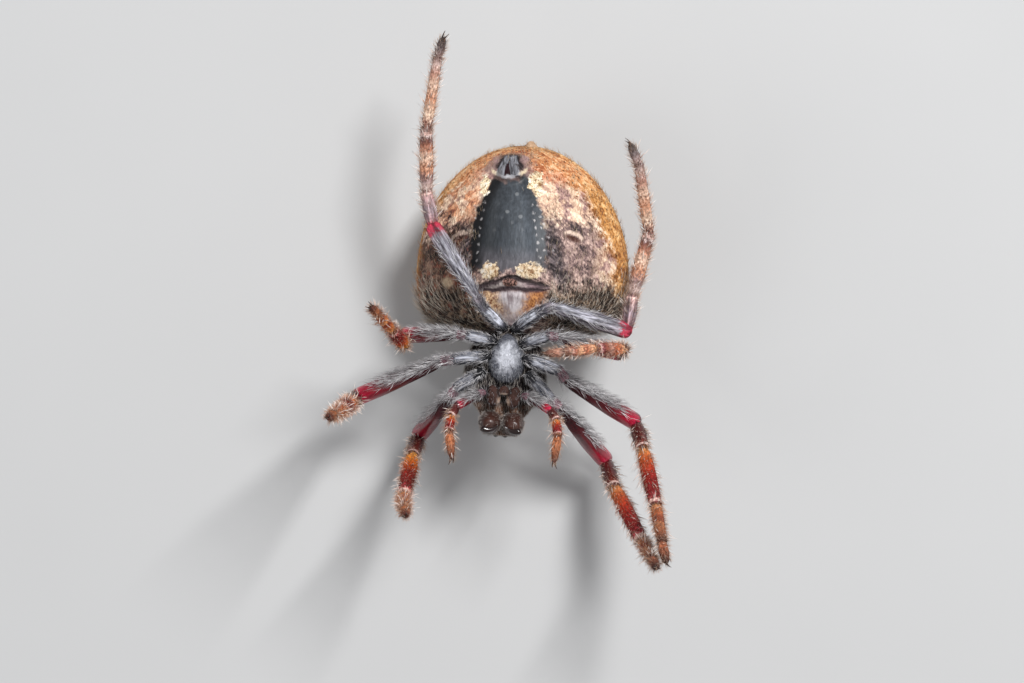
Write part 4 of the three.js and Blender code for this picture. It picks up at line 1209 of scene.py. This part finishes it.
def fore_colour(f, grain):
    """Dark red-brown carapace and a slate sternum with a whitish middle."""
    x, y, z = f.split(grain)
    mottle = f.noise(grain, 3.0, 4.0)
    specks = f.noise(grain, 11.0, 3.0)
    head = f.times(f.step(y, -2.5, -3.3), 0.6)
    shell = f.mix(f.step(f.noise(grain, 2.0, 4.0), 0.36, 0.66), (0.016, 0.008, 0.006),
                  f.mix(head, (0.15, 0.07, 0.042), (0.28, 0.14, 0.08)))
    shell = f.mix(f.step(specks, 0.55, 0.75), shell, (0.3, 0.19, 0.13))
    # Painted shade in the carapace's grooves, the darker the deeper they are.
    shell = f.mix(f.times(f.tone("hollow"), 0.85), shell, (0.008, 0.005, 0.004))
    # Near-black on the carapace's flanks next to the coxae, behind the head: dark skin there, with painted
    # shade between the legs.
    shell = f.mix(f.times(f.step(z, -0.6, 0.1), f.step(y, -3.6, -3.0)), shell, (0.012, 0.008, 0.009))
    plate = f.mix(mottle, (0.03, 0.032, 0.042), (0.1, 0.105, 0.13))
    flat = f.scaled(grain, (1 / 0.62, 1 / 0.78, 0), (0, 1.22 / 0.78, 0))
    away = f.node("ShaderNodeVectorMath", {0: flat}, operation="LENGTH").outputs["Value"]
    turned_by = f.work("ARCTAN2", x, f.plus(y, 1.22))
    fan = f.node("ShaderNodeCombineXYZ", {0: f.times(turned_by, 3.2), 1: f.times(away, 0.4)})
    rays = f.noise(fan.outputs[0], 1.0)
    patch = f.step(f.plus(away, f.plus(f.times(mottle, 1.5), f.times(rays, 1.2))), 2.5, 1.6)
    plate = f.mix(patch, plate, f.mix(specks, (0.4, 0.42, 0.48), (0.85, 0.85, 0.9)))
    plate = f.mix(f.times(f.step(specks, 0.52, 0.6), 0.4), plate, (0.08, 0.09, 0.12))
    colour = f.mix(f.step(z, 0.3, 0.55), shell, plate)
    mouth = f.times(f.step(y, -2.32, -2.42), f.step(z, 0.3, 0.5))
    rim = f.times(f.step(f.size(x), 0.34, 0.16), f.step(y, -2.85, -3.15))
    lobes = f.mix(f.noise(grain, 5.0, 4.0), (0.01, 0.005, 0.004), (0.08, 0.032, 0.023))
    lobes = f.mix(f.times(rim, 0.8), lobes, (0.55, 0.4, 0.31))
    tip = f.times(f.step(f.size(x), 0.2, 0.1), f.step(y, -2.72, -2.8), f.step(y, -2.95, -2.88), 0.7)
    lobes = f.mix(tip, lobes, (0.5, 0.38, 0.3))
    # Painted shade in the grooves round the lip and the jaw bases.
    lobes = f.mix(f.times(f.tone("hollow"), 0.9), lobes, (0.006, 0.004, 0.004))
    return f.mix(mouth, colour, lobes)


def markings(f):
    """The colours of the living skin, read by the skin and by its coat."""
    grain = f.vector("grain")
    belly, field, fleck = belly_colour(f, f.vector("spot"))
    colour = f.mix(f.tone("belly"), fore_colour(f, grain), belly)
    colour = f.mix(f.tone("limb"), colour, leg_colour(f, grain))
    return colour, f.times(field, f.tone("belly")), fleck


def skin_finish():
    """All the markings, matt and pebbled, with a smoother slate and glossy thighs."""
    f = Finish("living skin")
    colour, field, fleck = markings(f)
    grain = f.vector("grain")
    thigh = f.times(f.step(f.tone("reach"), 2.3, 2.5), f.step(f.tone("reach"), 3.98, 3.9))
    gloss = f.times(thigh, f.tone("limb"), f.minus(1.0, f.tone("hind")))
    rough = f.minus(f.minus(0.66, f.times(field, 0.24)), f.times(gloss, 0.42))
    rough = f.work("ADD", rough, f.times(f.noise(grain, 6.0), 0.14), True)
    leather = f.noise(f.scaled(grain, (1, 1, 0.6)), 14.0, 3.0)
    pebbles = f.cells(f.scaled(grain, (1, 1, 0.6)), 7.0, 0.9)
    x, y, _ = f.split(f.vector("spot"))
    bare = f.times(f.tone("belly"), f.step(y, -0.2, -0.5), f.step(f.size(x), 1.4, 1.0))
    matt = f.step(f.plus(f.plus(gloss, field), bare), 0.0, 1.0, 1.0, 0.12)
    bumps = f.bump(f.plus(f.times(leather, 0.5), f.times(fleck, 0.5, f.tone("belly"))), matt, 0.05)
    bumps = f.bump(f.step(pebbles, 0.6, 0.0), f.times(matt, 0.8), 0.05, bumps)
    return f.set(Base_Color=colour, Roughness=rough, Normal=bumps, Coat_Weight=f.times(gloss, 0.6),
                 Coat_Roughness=0.1, Specular_IOR_Level=0.3)


def hair_finish(name, pale, dark, keep=0.0, part=None, rough=0.5):
    """Hair that keeps some of its part's marking and varies from hair to hair."""
    f = Finish(name)
    colour = f.mix(f.tone("shade"), dark, pale)
    if part == "belly":
        colour = f.mix(keep, colour, belly_colour(f, f.vector("spot"))[0])
    elif part == "leg":
        colour = f.mix(keep, colour, leg_colour(f, f.vector("grain")))
    elif part == "fore":
        colour = f.mix(keep, colour, fore_colour(f, f.vector("grain")))
    return f.set(Base_Color=colour, Roughness=rough, Specular_IOR_Level=0.3)


def plain_finish(name, low, high, rough, bump_scale, coat=0.0):
    """A glossy horn or lens finish with faint mottling."""
    f = Finish(name)
    texture = f.node("ShaderNodeTexCoord").outputs["Object"]
    mottle = f.noise(f.scaled(texture, (1000, 1000, 1000)), bump_scale, 4.0)
    bumps = f.bump(mottle, 0.2, 0.02)
    return f.set(Base_Color=f.mix(mottle, low, high), Roughness=rough, Normal=bumps, Coat_Weight=coat,
                 Coat_Roughness=0.05)


# ---- separate hard pieces ----------------------------------------------------------

def eye_pieces():
    """Smooth lenses at the places of the solid ones."""
    meshes = []
    for seat, radius in eye_seats():
        lens = ball(24, 16, lambda x, y, z: Vector((x, y, z)) * radius)
        meshes.append(new_mesh(place(lens, FORE_TURN, WAIST + FORE_TURN @ seat), "lens"))
    return joined(meshes, "eyes")


def jaw_seat(side):
    """Turns and moves from a chelicera's own frame, +Z to its tip and -Y ahead."""
    c = CHELICERA
    lean = Matrix.Rotation(radians(c["lean"]), 3, "X")
    at = Vector((side * c["out"], -c["ahead"], c["up"]))
    return FORE_TURN @ lean, WAIST + FORE_TURN @ at


def jaw_shell(side):
    """A stout basal segment, bulging in front and flat at its tip, with teeth by the fang."""
    r = CHELICERA["radius"] - JAW_COAT
    n = CHELICERA["length"]
    profile = [(-0.42, 0), (-0.38, 0.2), (-0.24, 0.36), (-0.05, r * 0.93), (0.15, r * 0.98), (0.35, r),
               (0.55, r), (0.75, r * 0.97), (0.92, r * 0.91), (1.06, r * 0.83), (1.17, r * 0.75),
               (n, r * 0.68), (n + 0.06, r * 0.6), (n + 0.1, r * 0.5), (n + 0.12, r * 0.34), (n + 0.12, 0)]
    bm = turned(profile, 32)
    for vert in bm.verts:
        x, y, z = vert.co
        ahead, inward = max(-y / r, 0), max(-side * x / r, 0)
        vert.co.y -= 0.05 * ahead * float(np.exp(-((z - 0.3) / 0.4) ** 2))
        vert.co.x += side * 0.015 * inward * inward
        vert.co.z -= 0.06 * inward * float(smooth(z, n - 0.2, n + 0.1))
    for inward in (-0.04, 0.07, 0.18):
        tooth = turned([(-0.03, 0), (-0.02, 0.032), (0.03, 0.022), (0.07, 0)], 8)
        place(tooth, Matrix.Identity(3), Vector((-side * inward, 0.04, n + 0.08)))
        bm.from_mesh(new_mesh(tooth, "tooth"))
    return place(bm, *jaw_seat(side))


def fang_horn(side):
    """A curved horn from the outer corner of the tip, folded across it."""
    g = FANG
    bend = g["length"] / radians(g["sweep"])
    rows = [(-0.1, 0), (-0.08, g["radius"] * 0.7)]
    rows += [(g["length"] * t, g["radius"] * (1 - 0.85 * t ** 1.5)) for t in np.linspace(0, 0.95, 12)]
    horn = turned(rows + [(g["length"], 0)], 16)
    for vert in horn.verts:
        angle = vert.co.z / bend
        reach = bend - vert.co.x
        vert.co = Vector((side * (bend - reach * cos(angle)), vert.co.y, reach * sin(angle)))
    bmesh.ops.recalc_face_normals(horn, faces=horn.faces)
    ahead = radians(g["toe"])
    curl = Vector((-side * sin(ahead), cos(ahead), 0)) * side
    heading_in = Vector((-side * cos(ahead), -sin(ahead), 0))
    turn = Matrix((curl, heading_in.cross(curl), heading_in)).transposed()
    out, back, along = g["hinge"]
    seat, at = jaw_seat(side)
    hinge = Vector((side * out, back, CHELICERA["length"] + along))
    return place(place(horn, turn, hinge), seat, at)


def jaw_meshes():
    """Both chelicerae as one mesh, and both fangs as another."""
    jaws = [new_mesh(jaw_shell(side), "jaw") for side in (-1, 1)]
    fangs = [new_mesh(fang_horn(side), "fang") for side in (-1, 1)]
    return joined(jaws, "chelicerae"), joined(fangs, "fangs")


def jaw_ground(mesh):
    """The chelicerae as ground for hair, which jaws() grows thickest towards their bases."""
    rows = points_of(mesh)
    count = len(rows)
    tones = dict(grain=fore_local(rows), limb=np.zeros(count), reach=np.zeros(count),
                 streak=np.full(count, 0.5))
    return Ground(mesh, tones, np.tile(np.array(FORE_TURN @ Vector((0, -0.3, 1))), (count, 1)))


def claw_mesh(limbs):
    """Two curved claws at the end of every leg."""
    meshes = []
    for links in limbs:
        last = links[-1]
        tip = last["start"] + last["way"] * (last["length"] + 0.02)
        for side in (-1, 1):
            rows = [(0, 0)] + [(0.3 * t, 0.045 * (1 - 0.8 * t)) for t in np.linspace(0.03, 0.95, 6)]
            claw = turned(rows + [(0.3, 0)], 8)
            for vert in claw.verts:
                vert.co.x += side * 0.05 + side * vert.co.z * 0.25
                vert.co.y += 1.6 * vert.co.z ** 2
            meshes.append(new_mesh(place(claw, last["turn"], tip), "claw"))
    return joined(meshes, "claws")


# ---- putting it together -----------------------------------------------------------

def finish_piece(mesh, name, material, slot, nodes=()):
    """Scales a mesh to metres and makes it a piece, which may stand for some solids."""
    mesh.transform(Matrix.Scale(MM, 4))
    mesh.materials.clear()
    mesh.materials.append(material)
    mesh.shade_smooth()
    piece = new_object(mesh, name)
    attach(piece, "root")
    if nodes:
        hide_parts(*nodes)
    return piece


def flesh_nodes():
    """The solids that the one skin stands for."""
    hard = ("eye_", "fang_", "chelicera_")
    return [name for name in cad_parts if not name.startswith(hard)]


COATS = {                                  # how each coat grows: lift and droop in radians
    "belly_down": dict(seed=11, width=0.009, lift=0.7, droop=0.4, slot="abdomen_skin"),
    "flank_hair": dict(seed=12, width=0.011, lift=0.5, droop=0.3, slot="abdomen_skin"),
    "leg_fringe": dict(seed=13, width=0.009, lift=0.5, droop=0.3, slot="leg_grey"),
    "leg_bristles": dict(seed=14, width=0.0085, lift=0.8, droop=0.2, slot="leg_orange"),
    "leg_spines": dict(seed=15, width=0.021, lift=0.85, droop=0.15, slot="leg_orange"),
    "sternum_fuzz": dict(seed=16, width=0.008, lift=0.5, droop=0.2, slot="forebody_skin"),
    "fore_body_hair": dict(seed=17, width=0.008, lift=0.35, droop=0.2, slot="forebody_skin"),
    "jaw_hair": dict(seed=18, width=0.009, lift=0.45, droop=0.2, slot="chelicera"),
}


def grow(name, ground, density, length, finish):
    """Makes one coat. length is one number, or works it out for each hair from the roots."""
    coat = COATS[name]
    roots = ground.root(density, coat["seed"])
    long = length(roots) if callable(length) else length
    mesh = spikes(name, roots, long, coat["width"], coat["lift"], coat["droop"])
    finish_piece(mesh, name, finish, coat["slot"])


def belly_coats(ground):
    """Short down over the abdomen, longer and denser on its front half, none on the slate."""
    x, y, z = ground.tones["spot"].T
    front = smooth(-y, -0.2, 1.0) * smooth(np.abs(x), 0.9, 1.6)
    front = np.maximum(front, smooth(-y, 1.2, 2.0))
    slate = smooth(1.6 - np.abs(x + 0.2), 0, 0.3) * smooth(y, -1.6, -1.2) * smooth(z, 0.5, 1.2)
    density = ground.tones["belly"] * (1 - 0.97 * slate) * (ground.points[:, 2] > BALD_HEIGHT)
    golden = hair_finish("golden hair", (0.8, 0.64, 0.44), (0.22, 0.13, 0.07), 0.25, "belly")
    grow("belly_down", ground, density * 20 * (1 - front), 0.3, golden)
    pale = hair_finish("flank hair", (0.95, 0.86, 0.74), (0.26, 0.18, 0.12), 0.12, "belly")
    grow("flank_hair", ground, density * 46 * front, 0.62, pale)


def fringe_length(roots):
    """Short at the hips, long on the thighs, less so on the hind ones."""
    tones = roots["tones"]
    return 0.27 + smooth(tones["reach"], 0.9, 2.1) * (0.27 - 0.12 * tones["hind"])


def leg_fringe(ground):
    """Grey hair on the hips, and on the side of each thigh that faces up."""
    tones = ground.tones
    reach, on_limb, hind = tones["reach"], tones["limb"], tones["hind"] > 0.5
    zone = on_limb * smooth(2.88 - reach, 0, 0.5)
    hind_zone = on_limb * smooth(2.85 - reach, 0, 0.3) * (0.6 - 0.25 * smooth(reach, 1.7, 2.2))
    zone = np.where(hind, hind_zone, zone)
    front_thigh = (reach > 1.95) & (tones["hind"] < 0.5)
    zone = zone * np.where(front_thigh, 1.5 * smooth(tones["grey_side"], -0.35, 0.15), 0.9)
    grey = hair_finish("grey hair", (0.98, 0.96, 0.97), (0.1, 0.09, 0.1), 0.04, "leg")
    grow("leg_fringe", ground, zone * (85 + 130 * tones["streak"]), fringe_length, grey)


def face_length(roots):
    """Shorter towards the face."""
    return 0.38 - 0.22 * smooth(-fore_local(roots["at"])[:, 1], 2.6, 3.8)


def fore_coats(ground):
    """Hair over the carapace, densest on the face, and white fuzz on the sternum and mouth."""
    local = fore_local(ground.points)
    ahead, up = -local[:, 1], local[:, 2]
    on_fore = (1 - ground.tones["belly"]) * (1 - ground.tones["limb"])
    mouth = on_fore * smooth(ahead, 2.34, 2.44) * smooth(up, 0.3, 0.5)
    sternum = on_fore * smooth(up, 0.35, 0.6) * (1 - mouth)
    rest = on_fore * (1 - sternum) * (1 - mouth)
    mottled = hair_finish("fore body hair", (0.86, 0.8, 0.74), (0.16, 0.11, 0.08), 0.2, "fore")
    grow("fore_body_hair", ground, rest * (105 + 60 * smooth(ahead, 2.9, 3.6)), face_length, mottled)
    white = hair_finish("white fuzz", (0.96, 0.96, 1.0), (0.12, 0.13, 0.16), 0.6, "fore")
    grow("sternum_fuzz", ground, sternum * 260 + mouth * 60, 0.16, white)


def leg_ends(ground):
    """Tawny bristles beyond the thighs, with stout pale spines among them."""
    reach = ground.tones["reach"]
    on_limb = ground.tones["limb"]
    tawny = hair_finish("tawny hair", (1.0, 0.85, 0.7), (0.46, 0.2, 0.1), 0.35, "leg")
    grow("leg_bristles", ground, on_limb * smooth(reach, 2.95, 3.4) * 95, 0.3, tawny)
    spine = hair_finish("pale spine", (1.0, 0.95, 0.9), (0.8, 0.64, 0.56), 0.03, "leg", 0.35)
    density = on_limb * smooth(reach, 2.95, 3.5) * smooth(6.8 - reach, 0, 0.4) * 8.5
    grow("leg_spines", ground, density, 0.5, spine)


def jaws():
    """The chelicerae with their hair, and the fangs folded across their ends."""
    jaw_mesh, fang_mesh = jaw_meshes()
    ground = jaw_ground(jaw_mesh)
    density = smooth(fore_local(ground.points)[:, 2], 1.4, 1.1) * 95 + 10
    brown = hair_finish("jaw hair", (0.8, 0.74, 0.7), (0.14, 0.09, 0.07))
    grow("jaw_hair", ground, density, 0.26, brown)
    shell = plain_finish("jaw shell", (0.008, 0.004, 0.003), (0.085, 0.027, 0.017), 0.42, 3.0, 0.1)
    finish_piece(jaw_mesh, "chelicerae", shell, "chelicera", ["chelicera_left", "chelicera_right"])
    horn = plain_finish("fang horn", (0.004, 0.002, 0.002), (0.022, 0.006, 0.004), 0.2, 2.0, 0.5)
    finish_piece(fang_mesh, "fangs", horn, "fang", ["fang_left", "fang_right"])


def spider():
    """Every piece of the animal."""
    limbs = all_limbs()
    skin, tones, lies = build_skin(limbs)
    ground = Ground(skin, tones, lies)
    write_tones(skin, tones)
    finish_piece(skin, "skin", skin_finish(), "abdomen_skin", flesh_nodes())
    belly_coats(ground)
    leg_fringe(ground)
    fore_coats(ground)
    leg_ends(ground)
    lens = plain_finish("dark lens", (0.004, 0.004, 0.006), (0.02, 0.012, 0.01), 0.06, 3.0, 1.0)
    finish_piece(eye_pieces(), "eyes", lens, "eye", EYE_NODES)
    jaws()
    claw = plain_finish("claw horn", (0.015, 0.008, 0.006), (0.06, 0.03, 0.02), 0.25, 4.0)
    finish_piece(claw_mesh(limbs), "claws", claw, "fang")


# ---- floor, light and camera -------------------------------------------------------

LAMPS = [                                  # name, place and size in metres, watts
    ("key", (0.08, 0.1, 0.2), 0.06, 0.62),
    ("fill", (-0.16, -0.08, 0.12), 0.12, 0.12),
]
CAMERA_HEIGHT = 0.2265
FLOOR_HALF = 0.6


def studio():
    """A pale matt floor in a dim soft room, with two soft lamps."""
    bm = bmesh.new()
    bmesh.ops.create_grid(bm, x_segments=1, y_segments=1, size=FLOOR_HALF)
    floor = new_object(new_mesh(bm, "floor"), "floor")
    f = Finish("pale floor")
    where = f.node("ShaderNodeTexCoord").outputs["Object"]
    grain = f.noise(f.scaled(where, (60, 60, 60)), 1.0)
    colour = f.mix(grain, (0.50, 0.50, 0.50), (0.53, 0.53, 0.53))
    floor.data.materials.append(f.set(Base_Color=colour, Roughness=0.9))
    world = bpy.data.worlds.new("soft room")
    bpy.context.scene.world = world
    world.use_nodes = True
    air = world.node_tree.nodes["Background"]
    air.inputs["Color"].default_value = (0.94, 0.96, 1.0, 1)
    air.inputs["Strength"].default_value = 0.3
    for name, at, size, power in LAMPS:
        lamp = bpy.data.lights.new(name, "AREA")
        lamp.size = size
        lamp.energy = power
        holder = bpy.data.objects.new(name, lamp)
        holder.location = at
        holder.rotation_euler = (Vector((0, 0, 0.006)) - Vector(at)).to_track_quat("-Z", "Y").to_euler()
        bpy.context.collection.objects.link(holder)


def camera():
    """Looks straight down on the belly."""
    lens = bpy.data.cameras.new("camera")
    lens.lens = 181.8
    lens.sensor_width = 36
    lens.clip_start = 0.01
    lens.clip_end = 5
    holder = bpy.data.objects.new("camera", lens)
    holder.location = (MIDDLE.x * MM, MIDDLE.y * MM, CAMERA_HEIGHT)
    bpy.context.collection.objects.link(holder)
    bpy.context.scene.camera = holder


spider()
studio()
camera()
bpy.context.scene.view_settings.view_transform = "Standard"
